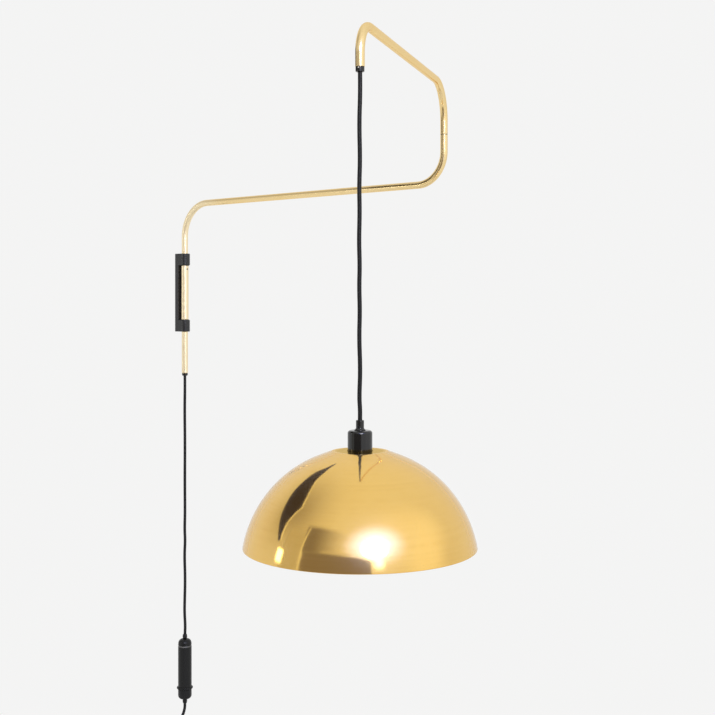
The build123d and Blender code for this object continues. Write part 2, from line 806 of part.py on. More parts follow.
# Coil: half turns that spiral in, climb a layer in the innermost one and spiral out again
coil_start = lead_route[-1]
coil_height = coil_start[2] - cord_diameter
half_turns = []
side, layer, radius = coil_start[0], coil_start[1], coil_radius
for turn in range(2 * coil_half_turns):
    lower_half = turn % 2 == 0
    climbs = turn == coil_half_turns
    across = 2 * radius if lower_half else -2 * radius
    start = Vector(side, layer, coil_height)
    side += across
    layer -= coil_layer_pitch if climbs else 0
    finish = Vector(side, layer, coil_height)
    bulge = (finish - start).length / 2
    middle = (start + finish) / 2 + Vector(0, 0, -bulge if lower_half else bulge)
    half_turns.append((start, middle, finish))
    radius += coil_pitch / 2 if turn >= coil_half_turns else -coil_pitch / 2
coil_end = half_turns[-1][2] - Vector(0, 0, cord_diameter)
with BuildLine() as coil_line:
    Line(coil_start, half_turns[0][0])
    for start, middle, finish in half_turns:
        ThreePointArc(start, middle, finish)
    Line(half_turns[-1][2], coil_end)
with BuildPart() as lead_coil:
    with BuildSketch(Plane(origin=coil_start, z_dir=(0, 0, -1))):
        Circle(cord_radius)
    sweep(path=coil_line.wire())
pieces["lead_coil"] = lead_coil

# The coil's least gap to itself, between points further apart along it than a half circle
coil_path = coil_line.wire()
coil_length = coil_path.length
steps = int(coil_length / 3)
stations = [coil_path @ (i / steps) for i in range(steps + 1)]
apart = int(math.pi * cord_diameter / 3)
nearest = min(
    (stations[i] - stations[j]).length
    for i in range(len(stations))
    for j in range(i + apart, len(stations))
)
print("lead_coil length", round(coil_length, 1), "least gap", round(nearest - cord_diameter, 2))

# Tie round the coil's turns at the top
inner_turn = coil_radius - (coil_half_turns - 1) * coil_pitch / 2
inner_sag = math.sqrt(inner_turn**2 - (coil_pitch / 2 + tie_width / 2) ** 2)
tie_low = inner_sag - cord_radius - tie_clearance
tie_high = coil_radius - coil_pitch / 2 + cord_radius + tie_clearance
tie_side = coil_layer_pitch + cord_diameter + 2 * tie_clearance
with BuildPart() as lead_tie:
    coil_middle_x = coil_start[0] + coil_radius
    tie_plane = Plane(
        origin=(
            coil_middle_x - tie_width / 2,
            coil_start[1] - coil_layer_pitch / 2,
            coil_height + (tie_low + tie_high) / 2,
        ),
        x_dir=(0, 1, 0),
        z_dir=(1, 0, 0),
    )
    with BuildSketch(tie_plane):
        RectangleRounded(tie_side + 2 * tie_wall, tie_high - tie_low + 2 * tie_wall, 2 * tie_wall)
        RectangleRounded(tie_side, tie_high - tie_low, tie_wall, mode=Mode.SUBTRACT)
    extrude(amount=tie_width)
pieces["lead_tie"] = lead_tie

# Tail from the coil to the plug
tail_steps = [(0, 0), (0, -13), (-4, -28), (-4, -41)]
tail_route = [(coil_end.X + x, coil_end.Y, coil_end.Z + z) for x, z in tail_steps]
tail_line = cord_path("lead_tail", tail_route)
with BuildPart() as lead_tail:
    with BuildSketch(Plane(origin=tail_line @ 0, z_dir=tail_line % 0)):
        Circle(cord_radius)
    sweep(path=tail_line)
pieces["lead_tail"] = lead_tail

# Plug: a ringed cord relief, a tapered shoulder and a flat body with two round pins
plug_x, plug_y, plug_top = tail_route[-1]
shoulder_top = plug_top - plug_relief_height
body_top = shoulder_top - plug_taper_height
plug_face = body_top - plug_body_height
ring_step = plug_relief_height / (plug_relief_rings + 1)
with BuildPart() as plug_body:
    with BuildSketch(Plane.XY.offset(shoulder_top)):
        with Locations((plug_x, plug_y)):
            Circle(plug_relief_diameter / 2)
    extrude(amount=plug_relief_height)
    for ring in range(plug_relief_rings):
        with BuildSketch(Plane.XY.offset(shoulder_top + (ring + 0.75) * ring_step)):
            with Locations((plug_x, plug_y)):
                Circle(plug_relief_diameter / 2)
                Circle(plug_relief_diameter / 2 - plug_relief_groove, mode=Mode.SUBTRACT)
        extrude(amount=ring_step / 2, mode=Mode.SUBTRACT)
    with BuildSketch(Plane.XY.offset(plug_face)):
        with Locations((plug_x, plug_y)):
            SlotOverall(plug_width, plug_thickness)
    extrude(amount=plug_body_height)
    with BuildSketch(Plane.XY.offset(body_top)):
        with Locations((plug_x, plug_y)):
            SlotOverall(plug_width, plug_thickness)
    with BuildSketch(Plane.XY.offset(shoulder_top)):
        with Locations((plug_x, plug_y)):
            SlotOverall(plug_shoulder_width, plug_relief_diameter)
    loft()
pieces["plug_body"] = plug_body

for side_name, side in (("plug_pin_left", -1), ("plug_pin_right", 1)):
    with BuildPart() as plug_pin:
        with BuildSketch(Plane.XY.offset(plug_face - pin_length)):
            with Locations((plug_x + side * pin_spacing / 2, plug_y)):
                Circle(pin_diameter / 2)
        extrude(amount=pin_length)
        fillet(plug_pin.edges().group_by(Axis.Z)[0], radius=(pin_diameter - pin_tip_flat) / 2)
    pieces[side_name] = plug_pin

os.makedirs("parts", exist_ok=True)
for name, piece in pieces.items():
    piece.part.label = name
    export_step(piece.part, f"parts/{name}.step")
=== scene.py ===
import bpy
import json
import math
from mathutils import Matrix, Vector


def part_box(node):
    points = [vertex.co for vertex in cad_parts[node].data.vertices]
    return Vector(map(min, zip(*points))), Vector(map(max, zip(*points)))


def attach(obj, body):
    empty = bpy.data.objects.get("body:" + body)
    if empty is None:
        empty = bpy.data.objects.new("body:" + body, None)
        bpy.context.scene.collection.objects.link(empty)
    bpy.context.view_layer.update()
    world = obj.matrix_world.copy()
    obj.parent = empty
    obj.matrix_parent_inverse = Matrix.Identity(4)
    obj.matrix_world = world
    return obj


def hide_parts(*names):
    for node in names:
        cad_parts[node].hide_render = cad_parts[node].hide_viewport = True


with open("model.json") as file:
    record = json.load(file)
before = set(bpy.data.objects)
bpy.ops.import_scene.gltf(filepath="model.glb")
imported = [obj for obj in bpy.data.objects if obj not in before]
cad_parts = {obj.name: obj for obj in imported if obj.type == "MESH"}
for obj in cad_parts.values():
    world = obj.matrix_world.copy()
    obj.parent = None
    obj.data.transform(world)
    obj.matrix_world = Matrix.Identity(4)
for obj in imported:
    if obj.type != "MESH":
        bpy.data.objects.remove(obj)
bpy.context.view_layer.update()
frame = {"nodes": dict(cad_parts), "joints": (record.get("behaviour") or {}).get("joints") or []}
joints = {joint["name"]: joint for joint in frame["joints"]}
wallAxis = Vector(joints["arm_swing"]["pos_m"])
elbowAxis = Vector(joints["elbow_swing"]["pos_m"])
cordPivot = Vector(joints["pendant_swing"]["pos_m"])
up = Vector((0, 0, 1))
intoRoom = Vector((0, -1, 0))  # the lower arm points this way at rest
alongUpper = Vector((cordPivot.x - elbowAxis.x, cordPivot.y - elbowAxis.y, 0)).normalized()
weld = 1e-6  # vertices closer than this are one
fit = 0.00002  # play between pieces that fit together
crisp = 0.0002  # roundings of small edges, from the sharpest on
fine = 0.0003
eased = 0.0004
soft = 0.0005
full = 0.0006


# modelling helpers

def roundBox(node):  # the corners of a round node's box, and its radius
    low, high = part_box(node)
    return low, high, (high.x - low.x) / 2


def putDown():  # back to object mode with nothing selected
    if bpy.context.mode != "OBJECT":
        bpy.ops.object.mode_set(mode="OBJECT")
    bpy.ops.object.select_all(action="DESELECT")
    bpy.context.tool_settings.mesh_select_mode = (True, False, False)


def pickParts(piece, kind, isWanted):  # edit mode, with only the wanted vertices, edges or faces selected
    bpy.ops.object.mode_set(mode="EDIT")
    bpy.ops.mesh.select_mode(type=kind)
    bpy.ops.mesh.select_all(action="DESELECT")
    bpy.ops.object.mode_set(mode="OBJECT")
    parts = {"VERT": piece.data.vertices, "EDGE": piece.data.edges, "FACE": piece.data.polygons}
    for part in parts[kind]:
        part.select = isWanted(part)
    bpy.ops.object.mode_set(mode="EDIT")


def pickVerts(piece, isWanted):  # by their place
    pickParts(piece, "VERT", lambda vertex: isWanted(vertex.co))


def weldAll():  # one vertex where several meet, with the whole mesh selected
    bpy.ops.mesh.select_all(action="SELECT")
    bpy.ops.mesh.remove_doubles(threshold=weld)
    bpy.ops.mesh.select_all(action="SELECT")


def faceOutwards():
    bpy.ops.mesh.select_all(action="SELECT")
    bpy.ops.mesh.normals_make_consistent(inside=False)


def addPiece(name, addShape, **settings):  # a new piece from one of Blender's primitives
    putDown()
    addShape(**settings)
    piece = bpy.context.object
    piece.name = name
    piece.data.name = name
    return piece


def settlePiece(piece):  # its place goes into its mesh
    putDown()
    piece.select_set(True)
    bpy.context.view_layer.objects.active = piece
    bpy.ops.object.transform_apply(location=True, rotation=True, scale=True)


def smoothPiece(piece, degrees=32):
    settlePiece(piece)
    bpy.ops.object.shade_smooth_by_angle(angle=math.radians(degrees))
    applyModifier(piece, "WEIGHTED_NORMAL", keep_sharp=True)  # flat faces stay flat beside rounded edges


def applyModifier(piece, kind, **settings):
    settlePiece(piece)
    modifier = piece.modifiers.new(kind.lower(), kind)
    for name, value in settings.items():
        setattr(modifier, name, value)
    bpy.ops.object.modifier_apply(modifier=modifier.name)


def roundEdges(piece, width, segments, degrees):  # bevels the edges that turn by more than the degrees
    applyModifier(piece, "BEVEL", width=width, segments=segments, limit_method="ANGLE",
                  angle_limit=math.radians(degrees))


def cutAway(piece, cutter):  # takes the cutter's shape out of the piece
    settlePiece(cutter)
    applyModifier(piece, "BOOLEAN", object=cutter, operation="DIFFERENCE", solver="EXACT")
    bpy.data.objects.remove(cutter)


def drillHole(piece, start, direction, radius, depth):
    drill = addPiece("drill", bpy.ops.mesh.primitive_cylinder_add, vertices=48, radius=radius, depth=depth)
    drill.rotation_euler = direction.to_track_quat("Z", "Y").to_euler()
    drill.location = start + direction * depth / 2
    cutAway(piece, drill)


def screwHole(screw, axis):  # where the hole for a screw's node starts on the axis, and its radius
    low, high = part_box(screw)
    return Vector((axis.x, axis.y, (low.z + high.z) / 2)), (high.z - low.z) / 2 + fit


def softOutline(corners, segments=5):  # rounds each (radius, height, softness) corner
    outline = []
    for index, (radius, height, softness) in enumerate(corners):
        here = Vector((radius, height))
        if not softness:
            outline.append(here)
            continue
        back = (Vector(corners[index - 1][:2]) - here).normalized()
        ahead = (Vector(corners[(index + 1) % len(corners)][:2]) - here).normalized()
        half = back.angle(ahead) / 2
        hub = here + (back + ahead).normalized() * softness / math.sin(half)
        first = here + back * softness / math.tan(half) - hub
        last = here + ahead * softness / math.tan(half) - hub
        sweep = first.angle_signed(last)
        for step in range(segments + 1):
            outline.append(hub + Matrix.Rotation(-sweep * step / segments, 2) @ first)
    return outline


def drawLoop(name, loop, hub):  # a closed line through points measured from the hub, left selected
    piece = addPiece(name, bpy.ops.mesh.primitive_plane_add, size=0.01)
    bpy.ops.object.mode_set(mode="EDIT")
    bpy.ops.mesh.merge(type="CENTER")  # one vertex to draw with
    bpy.ops.transform.translate(value=hub + loop[0])
    for here, there in zip(loop, loop[1:] + loop[:1]):
        bpy.ops.mesh.extrude_vertices_move(TRANSFORM_OT_translate={"value": there - here})
    weldAll()
    return piece


def ringSection(inner, outer, low, high, roundings):  # four corners, from the lower inner one round
    places = ((inner, low.z), (outer, low.z), (outer, high.z), (inner, high.z))
    return [(*place, rounding) for place, rounding in zip(places, roundings)]


def turnPiece(name, corners, axis, steps=96, segments=5):  # a turned piece from its half section
    hub = Vector((axis.x, axis.y, 0))
    section = [Vector((point.x, 0, point.y)) for point in softOutline(corners, segments)]
    piece = drawLoop(name, section, hub)
    bpy.ops.mesh.spin(steps=steps, angle=2 * math.pi, center=hub, axis=up)
    weldAll()
    bpy.ops.mesh.dissolve_degenerate(threshold=weld)
    faceOutwards()
    smoothPiece(piece)
    return piece


def notchRim(piece, axis, reach, size):  # presses notches into the rim of a turned piece
    def inNotch(place):
        if math.hypot(place.x - axis.x, place.y - axis.y) < reach:
            return False
        turn = math.atan2(place.y - axis.y, place.x - axis.x) * size["notches"] / (2 * math.pi)
        return abs(turn - round(turn)) < size["notchWidth"] / 2

    rim = max(math.hypot(v.co.x - axis.x, v.co.y - axis.y) for v in piece.data.vertices)
    pickVerts(piece, inNotch)
    shrink = 1 - size["notchDepth"] / rim
    bpy.ops.transform.resize(value=(shrink, shrink, 1), center_override=(axis.x, axis.y, 0))
    smoothPiece(piece)


def bendTube(name, foot, heading, legs, tube):  # starts upwards, bends in the plane of heading
    piece = addPiece(name, bpy.ops.mesh.primitive_circle_add, vertices=tube["sides"], radius=tube["radius"],
                     location=foot)
    settlePiece(piece)
    bpy.ops.object.mode_set(mode="EDIT")
    bpy.ops.mesh.select_all(action="SELECT")
    end = Vector(foot)
    lift = math.radians(90)
    turnAxis = heading.cross(up)
    endReach = 1.01 * tube["radius"]  # the ring at the end lies within this
    for leg in legs:
        if "run" in leg:
            step = (heading * math.cos(lift) + up * math.sin(lift)) * leg["run"]
            bpy.ops.mesh.extrude_edges_move(TRANSFORM_OT_translate={"value": step})
            end += step
        else:
            turn = math.radians(leg["turn"])
            side = (up * math.cos(lift) - heading * math.sin(lift)) * math.copysign(leg["bend"], turn)
            hub = end + side
            bpy.ops.mesh.spin(steps=tube["bendSteps"], angle=turn, center=hub, axis=-turnAxis)
            end = hub + Matrix.Rotation(turn, 3, turnAxis) @ -side
            lift += turn
        pickVerts(piece, lambda place: (place - end).length < endReach)
    weldAll()
    faceOutwards()
    applyModifier(piece, "SOLIDIFY", thickness=tube["wall"], offset=-1, use_even_offset=True)
    roundEdges(piece, tube["lip"], segments=2, degrees=60)
    smoothPiece(piece)
    return piece


def layCord(name, points, diameter):  # one smooth curve along the points
    curve = bpy.data.curves.new(name, "CURVE")
    curve.dimensions = "3D"
    spline = curve.splines.new("NURBS")
    spline.points.add(len(points) - 1)
    for point, place in zip(spline.points, points):
        point.co = (*place, 1)
    spline.order_u = 3
    spline.use_endpoint_u = True
    spline.resolution_u = 8
    curve.bevel_depth = diameter / 2
    curve.bevel_resolution = 6
    curve.use_fill_caps = True
    cord = bpy.data.objects.new(name, curve)
    bpy.context.scene.collection.objects.link(cord)
    return cord


# shader helpers

class Wire:  # a shader socket that can be used in sums
    def __init__(self, tree, socket=None):
        self.tree = tree
        self.socket = socket

    def put(self, nodeType, settings, inputs, output=0):  # adds a node and returns one of its outputs
        node = self.tree.nodes.new(nodeType)
        for name, value in settings.items():
            setattr(node, name, value)
        for name, value in inputs.items():
            if isinstance(value, Wire):
                self.tree.links.new(value.socket, node.inputs[name])
            else:
                node.inputs[name].default_value = value
        return Wire(self.tree, node.outputs[output] if node.outputs else None)

    def other(self, output):  # another output of the same node
        return Wire(self.tree, self.socket.node.outputs[output])

    def calc(self, operation, first, second):
        return self.put("ShaderNodeMath", {"operation": operation}, {0: first, 1: second})

    def __add__(self, value):
        return self.calc("ADD", self, value)

    def __sub__(self, value):
        return self.calc("SUBTRACT", self, value)

    def __rsub__(self, value):
        return self.calc("SUBTRACT", value, self)

    def __mul__(self, value):
        return self.calc("MULTIPLY", self, value)

    def __pow__(self, value):
        return self.calc("POWER", self, value)

    __radd__ = __add__
    __rmul__ = __mul__

    def __abs__(self):
        return self.put("ShaderNodeMath", {"operation": "ABSOLUTE"}, {0: self})

    def clamp(self):
        return self.put("ShaderNodeClamp", {}, {"Value": self})

    def between(self, low, high):  # 0 below low, 1 above high, smooth between
        settings = {"interpolation_type": "SMOOTHSTEP"}
        return self.put("ShaderNodeMapRange", settings, {"Value": self, "From Min": low, "From Max": high})

    def blend(self, without, within):  # mixes two colours by this value
        return self.put("ShaderNodeMix", {"data_type": "RGBA"}, {0: self, 6: without, 7: within}, 2)

    def place(self):  # Object coordinates
        return self.put("ShaderNodeTexCoord", {}, {}, "Object")

    def bump(self, strength, distance):  # a surface raised by this height
        return self.put("ShaderNodeBump", {}, {"Strength": strength, "Distance": distance, "Height": self})

    def split(self):  # the X of a vector, with Y and Z as its other outputs
        return self.put("ShaderNodeSeparateXYZ", {}, {"Vector": self})

    def dot(self, way):  # how far a vector goes that way
        return self.put("ShaderNodeVectorMath", {"operation": "DOT_PRODUCT"}, {0: self, 1: way}, "Value")

    def noise(self, scale, detail=2.0, roughness=0.5):  # cloudy noise over this place
        inputs = {"Vector": self, "Scale": scale, "Detail": detail, "Roughness": roughness}
        return self.put("ShaderNodeTexNoise", {}, inputs)

    def rings(self, scale, detail):  # noise along one line
        inputs = {"W": self, "Scale": scale, "Detail": detail}
        return self.put("ShaderNodeTexNoise", {"noise_dimensions": "1D"}, inputs)


def startMaterial(name):
    material = bpy.data.materials.new(name)
    material.use_nodes = True
    material.node_tree.nodes.clear()
    return material, Wire(material.node_tree)


def closeMaterial(material, wire, **sockets):  # the surface, from the values and links of its sockets
    names = {name.replace("_", " "): value for name, value in sockets.items()}
    surface = wire.put("ShaderNodeBsdfPrincipled", {}, names)
    wire.put("ShaderNodeOutputMaterial", {}, {"Surface": surface})
    return material


# finishes

brassFinishes = {
    "brassDome": {
        "base": (0.95, 0.61, 0.155, 1),
        "warm": (0.90, 0.55, 0.12, 1),
        "grazing": (0.84, 0.75, 0.61, 1),
        "gloss": 0.05,
        "haze": 0.05,
        "relief": 0.05,
        "coat": 1.0,
    },
    "brassTube": {
        "base": (0.97, 0.745, 0.38, 1),
        "warm": (0.95, 0.71, 0.33, 1),
        "grazing": (0.92, 0.79, 0.55, 1),
        "gloss": 0.19,
        "haze": 0.03,
        "relief": 0.003,
        "coat": 0.4,
    },
}
brassFinishes["brassCrown"] = {**brassFinishes["brassDome"], "grazing": (1.0, 0.78, 0.33, 1)}  # its flat, with a yellower grazing tint: a painted reflection colour
brassNoise = {  # scale, detail and roughness
    "cloud": (9.0, 4.0, 0.55),
    "smear": (38.0, 5.0, 0.65),
    "grain": (900.0, 2.0, 0.5),
    "speck": (260.0, 1.0, 0.5),
}
brassSpans = {  # the noise's values that each effect grows between
    "tone": (0.35, 0.75),
    "haze": (0.35, 0.8),
    "bands": (0.35, 0.7),
    "bandSmear": (0.3, 0.7),
}
brassRelief = {"grain": 0.15, "smear": 0.6, "rings": 0.5, "depth": 0.0004}
tarnish = {"from": 0.79, "to": 0.86, "haze": 0.25, "tone": (0.30, 0.17, 0.05, 1)}
paintedPaleEnd = {"from": -0.2, "to": -0.06, "haze": 0.2, "tone": (0.98, 0.83, 0.54, 1)}  # painted highlight on the tubes: a paler tone towards the bracket, over y
spinMarks = {"ringScale": 700.0, "ringDetail": 3.0, "ringHaze": 0.03, "bandScale": 110.0, "bandDetail": 4.0}
lacquerRoughness = 0.32
paintedCrownShade = {"from": 0.034, "to": 0.048, "haze": 0.1, "tone": (0.50, 0.36, 0.15, 1)}  # painted shade: darker, duller brass round the cap


def spunPlace(place, about):  # the distance from the axis of a spun piece, and the way along its wall
    part = place.put("ShaderNodeMapping", {}, {"Vector": place, "Location": -about}).split()
    across = (part * part + part.other("Y") * part.other("Y")) ** 0.5
    return across, across - part.other("Z")


def polishedBrass(name, spunAbout=None):
    finish = brassFinishes[name]
    material, wire = startMaterial(name)
    place = wire.place()
    cloud, smear, grain, speck = (place.noise(*layer) for layer in brassNoise.values())
    spots = speck.between(tarnish["from"], tarnish["to"])
    tone = cloud.between(*brassSpans["tone"])
    height = grain * brassRelief["grain"] + smear * brassRelief["smear"]
    rough = finish["gloss"] + smear.between(*brassSpans["haze"]) * finish["haze"] + spots * tarnish["haze"]
    coat = finish["coat"]
    if spunAbout:  # rings and bands left by the spinning tool
        across, along = spunPlace(place, spunAbout)
        rings = along.rings(spinMarks["ringScale"], spinMarks["ringDetail"])
        bands = along.rings(spinMarks["bandScale"], spinMarks["bandDetail"])
        # painted shade round the cap: a darker tone, more roughness and no lacquer on the crown
        clearOfCrownShade = across.between(paintedCrownShade["from"], paintedCrownShade["to"])
        height = height + rings * brassRelief["rings"]
        rough = rough + rings * spinMarks["ringHaze"] + (1 - clearOfCrownShade) * paintedCrownShade["haze"]
        coat = clearOfCrownShade * coat
        banded = bands.between(*brassSpans["bands"]) * smear.between(*brassSpans["bandSmear"])
        tone = tone * 0.5 + banded * 0.5
        patches = clearOfCrownShade.blend(paintedCrownShade["tone"], tone.blend(finish["base"], finish["warm"]))
    else:  # a tube, less glossy towards the bracket, with a painted highlight there that makes it paler
        pale = place.split().other("Y").between(paintedPaleEnd["from"], paintedPaleEnd["to"])
        rough = rough + pale * paintedPaleEnd["haze"]
        patches = pale.blend(tone.blend(finish["base"], finish["warm"]), paintedPaleEnd["tone"])
    return closeMaterial(material, wire, Base_Color=spots.blend(patches, tarnish["tone"]), Metallic=1.0,
                         Roughness=rough, Normal=height.bump(finish["relief"], brassRelief["depth"]),
                         Specular_Tint=finish["grazing"], Coat_Weight=coat,
                         Coat_Roughness=lacquerRoughness)


satinFinish = {
    "colour": (0.75, 0.52, 0.19, 1),
    "dull": (0.62, 0.40, 0.13, 1),
    "roughness": 0.34,
    "ringHaze": 0.12,
    "ringScale": 900.0,
    "ringDetail": 4.0,
    "cloud": (14.0, 4.0, 0.6),  # scale, detail and roughness
    "dullSpan": (0.3, 0.8),
    "cloudRelief": 0.4,
    "relief": 0.2,
    "depth": 0.0003,
}


def satinBrass(name, about):  # the unpolished inside of the dome
    finish = satinFinish
    material, wire = startMaterial(name)
    place = wire.place()
    rings = spunPlace(place, about)[1].rings(finish["ringScale"], finish["ringDetail"])
    cloud = place.noise(*finish["cloud"])
    height = rings + cloud * finish["cloudRelief"]
    tint = cloud.between(*finish["dullSpan"]).blend(finish["colour"], finish["dull"])
    return closeMaterial(material, wire, Base_Color=tint, Metallic=1.0,
                         Roughness=finish["roughness"] + rings * finish["ringHaze"],
                         Normal=height.bump(finish["relief"], finish["depth"]))


blackFinishes = {  # colour, dusty colour, roughness, its spread, grain scale, grain strength, sheen
    "blackCasting": ((0.017, 0.017, 0.018, 1), (0.042, 0.041, 0.039, 1), 0.22, 0.14, 1100.0, 0.10, 0.52),
    "blackGloss": ((0.003, 0.003, 0.0035, 1), (0.012, 0.012, 0.012, 1), 0.11, 0.08, 500.0, 0.02, 0.64),
    "blackMoulding": ((0.006, 0.006, 0.0065, 1), (0.014, 0.013, 0.013, 1), 0.30, 0.12, 1500.0, 0.06, 0.30),
    # a pale grey copy, used for the painted highlight on the dimmer's flank
    "paintedHighlightMoulding": ((0.12, 0.117, 0.115, 1), (0.16, 0.155, 0.15, 1), 0.40, 0.12, 1500.0, 0.06, 0.30),
    "blackNylon": ((0.010, 0.010, 0.011, 1), (0.024, 0.024, 0.024, 1), 0.46, 0.10, 1800.0, 0.06, 0.40),
    "blackSheath": ((0.008, 0.008, 0.0085, 1), (0.020, 0.020, 0.020, 1), 0.42, 0.14, 700.0, 0.10, 0.24),
    "blackStrap": ((0.012, 0.012, 0.013, 1), (0.030, 0.030, 0.029, 1), 0.70, 0.10, 2600.0, 0.30, 0.30),
    "blackInsulator": ((0.022, 0.019, 0.017, 1), (0.050, 0.043, 0.038, 1), 0.30, 0.12, 900.0, 0.05, 0.50),
}
blackGrain = (3.0, 0.6)  # detail and roughness
blackSmear = {"noise": (45.0, 5.0, 0.62), "haze": (0.3, 0.8), "relief": 0.35, "depth": 0.0003}
blackDust = {"smear": (0.52, 0.85), "grain": (0.35, 0.75)}


def blackFinish(name):
    colour, dusty, roughness, spread, grainScale, grainStrength, sheen = blackFinishes[name]
    material, wire = startMaterial(name)
    place = wire.place()
    grain = place.noise(grainScale, *blackGrain)
    smear = place.noise(*blackSmear["noise"])
    dust = smear.between(*blackDust["smear"]) * grain.between(*blackDust["grain"])
    rough = roughness + smear.between(*blackSmear["haze"]) * spread
    bump = (grain + smear * blackSmear["relief"]).bump(grainStrength, blackSmear["depth"])
    return closeMaterial(material, wire, Base_Color=dust.blend(colour, dusty), Roughness=rough, Normal=bump,
                         Specular_IOR_Level=sheen)


metalFinishes = {  # colour, worn colour, roughness
    "blackenedSteel": ((0.12, 0.12, 0.125, 1), (0.34, 0.33, 0.32, 1), 0.34),
    "nickelPlate": ((0.74, 0.71, 0.65, 1), (0.58, 0.54, 0.48, 1), 0.20),
    "plainBrass": ((0.76, 0.58, 0.27, 1), (0.58, 0.40, 0.16, 1), 0.28),
}
metalSmear = {"noise": (160.0, 5.0, 0.6), "worn": (0.45, 0.8), "haze": 0.12}
metalScratch = {"scale": 1600.0, "relief": 0.08, "depth": 0.0002}


def metalFinish(name):
    colour, worn, roughness = metalFinishes[name]
    material, wire = startMaterial(name)
    place = wire.place()
    smear = place.noise(*metalSmear["noise"])
    bump = place.noise(metalScratch["scale"]).bump(metalScratch["relief"], metalScratch["depth"])
    tint = smear.between(*metalSmear["worn"]).blend(colour, worn)
    return closeMaterial(material, wire, Base_Color=tint, Metallic=1.0,
                         Roughness=roughness + smear * metalSmear["haze"], Normal=bump)


opalFinish = {
    "colour": (0.90, 0.885, 0.84, 1),
    "cool": (0.82, 0.82, 0.80, 1),
    "cloud": (30.0, 3.0),  # scale and detail
    "coolSpan": (0.35, 0.75),
    "roughness": 0.16,
    "haze": 0.08,
    "coat": 0.4,
    "coatRoughness": 0.05,
}


def opalGlass(name):
    material, wire = startMaterial(name)
    place = wire.place()
    cloud = place.noise(*opalFinish["cloud"])
    tint = cloud.between(*opalFinish["coolSpan"]).blend(opalFinish["colour"], opalFinish["cool"])
    return closeMaterial(material, wire, Base_Color=tint,
                         Roughness=opalFinish["roughness"] + cloud * opalFinish["haze"],
                         Coat_Weight=opalFinish["coat"], Coat_Roughness=opalFinish["coatRoughness"])


domeMiddle = Vector((cordPivot.x, cordPivot.y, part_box("shade")[0].z))
brassTube = polishedBrass("brassTube")
brassDome = polishedBrass("brassDome", spunAbout=domeMiddle)
brassCrown = polishedBrass("brassCrown", spunAbout=domeMiddle)
brassInside = satinBrass("brassInside", about=domeMiddle)
blacks = {name: blackFinish(name) for name in blackFinishes}
metals = {name: metalFinish(name) for name in metalFinishes}
opal = opalGlass("opalGlass")
print("finishes made:", len(bpy.data.materials))


def dressPiece(piece, finish, body, slotName, *replaced):
    piece.data.materials.clear()
    piece.data.materials.append(finish)
    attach(piece, body)
    if replaced:
        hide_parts(*replaced)
    return piece


# camera, at the photograph's place

cameraView = {
    "place": (-1.8777, -2.1219, -0.0293),
    "heading": -50.6,  # degrees about +Z, from looking along +Y
    "lens": 56.24,
    "sensor": 36.0,
    "shiftY": -0.0743,
}
bpy.ops.object.camera_add(location=cameraView["place"])
camera = bpy.context.object
camera.name = "camera"
viewTurn = math.radians(cameraView["heading"])
camera.rotation_euler = (math.radians(90), 0, viewTurn)
camera.data.lens = cameraView["lens"]
camera.data.sensor_width = cameraView["sensor"]
camera.data.shift_y = cameraView["shiftY"]
bpy.context.scene.camera = camera
pictureRight = Vector((math.cos(viewTurn), math.sin(viewTurn), 0))
pictureBack = Vector((math.sin(viewTurn), -math.cos(viewTurn), 0))  # from the lamp towards the camera
print("camera placed")


# cords

cordDiameter = 0.007
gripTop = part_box("cord_grip")[1].z
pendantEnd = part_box("pendant_cord")[0].z
pendantWaves = [  # height above the grip's top, and how far the cord bows to the photograph's right
    (0.518, 0.0006),
    (0.466, -0.0013),
    (0.410, 0.0002),
    (0.366, -0.0013),
    (0.326, -0.0004),
    (0.282, -0.0016),
    (0.242, -0.0003),
    (0.210, -0.0013),
    (0.170, -0.0001),
    (0.130, -0.0014),
    (0.078, 0.0006),
    (0.036, -0.0012),
    (0.016, 0.0002),
]
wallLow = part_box("wall_cord")[0].z
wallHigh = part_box("wall_ferrule")[0].z
wallWaves = [  # height above the dimmer's grip, and the bow to the photograph's right
    (0.610, 0.0002),
    (0.560, -0.0006),
    (0.480, 0.0003),
    (0.380, -0.0002),
    (0.300, 0.0004),
    (0.262, -0.0007),
    (0.232, 0.0008),
    (0.196, -0.0011),
    (0.140, 0.0008),
    (0.085, -0.0004),
    (0.055, -0.0010),
    (0.020, 0.0010),
]
leadSteps = [  # x and z below the dimmer's lower grip
    (0, 0),
    (0, -0.012),
    (-0.0055, -0.026),
    (-0.0185, -0.043),
    (-0.0345, -0.063),
    (-0.043, -0.0815),
    (-0.043, -0.097),
]
tailSteps = [(0, 0), (0, -0.013), (-0.004, -0.028), (-0.004, -0.041)]
coilTurns = {"radius": 0.043, "pitch": 0.0076, "layerPitch": 0.0076, "halfTurns": 4, "pointsPerHalf": 12}


def waveRoute(axis, top, bottom, waves):
    route = [Vector((axis.x, axis.y, top))]
    for height, bow in waves:
        route.append(Vector((axis.x, axis.y, bottom + height)) + pictureRight * bow)
    return route + [Vector((axis.x, axis.y, bottom))]


def coilRoute(start):  # half turns that spiral in, climb a layer and spiral out again
    count = coilTurns["pointsPerHalf"]
    swell = 1 / math.cos(math.pi / count / 2)  # control points stand outside the turn that they make
    radius = coilTurns["radius"]
    side, layer, height = start.x, start.y, start.z - cordDiameter
    route = []
    for turn in range(2 * coilTurns["halfTurns"]):
        below = turn % 2 == 0
        middle = side + (radius if below else -radius)
        rise = -coilTurns["layerPitch"] if turn == coilTurns["halfTurns"] else 0
        for step in range(count):
            share = (step + 0.5) / count
            angle = math.pi * share
            across = -math.cos(angle) * (1 if below else -1) * radius * swell
            bulge = math.sin(angle) * (-1 if below else 1) * radius * swell
            route.append(Vector((middle + across, layer + rise * share, height + bulge)))
        side += 2 * (radius if below else -radius)
        layer += rise
        radius += coilTurns["pitch"] / 2 if turn >= coilTurns["halfTurns"] else -coilTurns["pitch"] / 2
    return route, Vector((side, layer, height - cordDiameter))


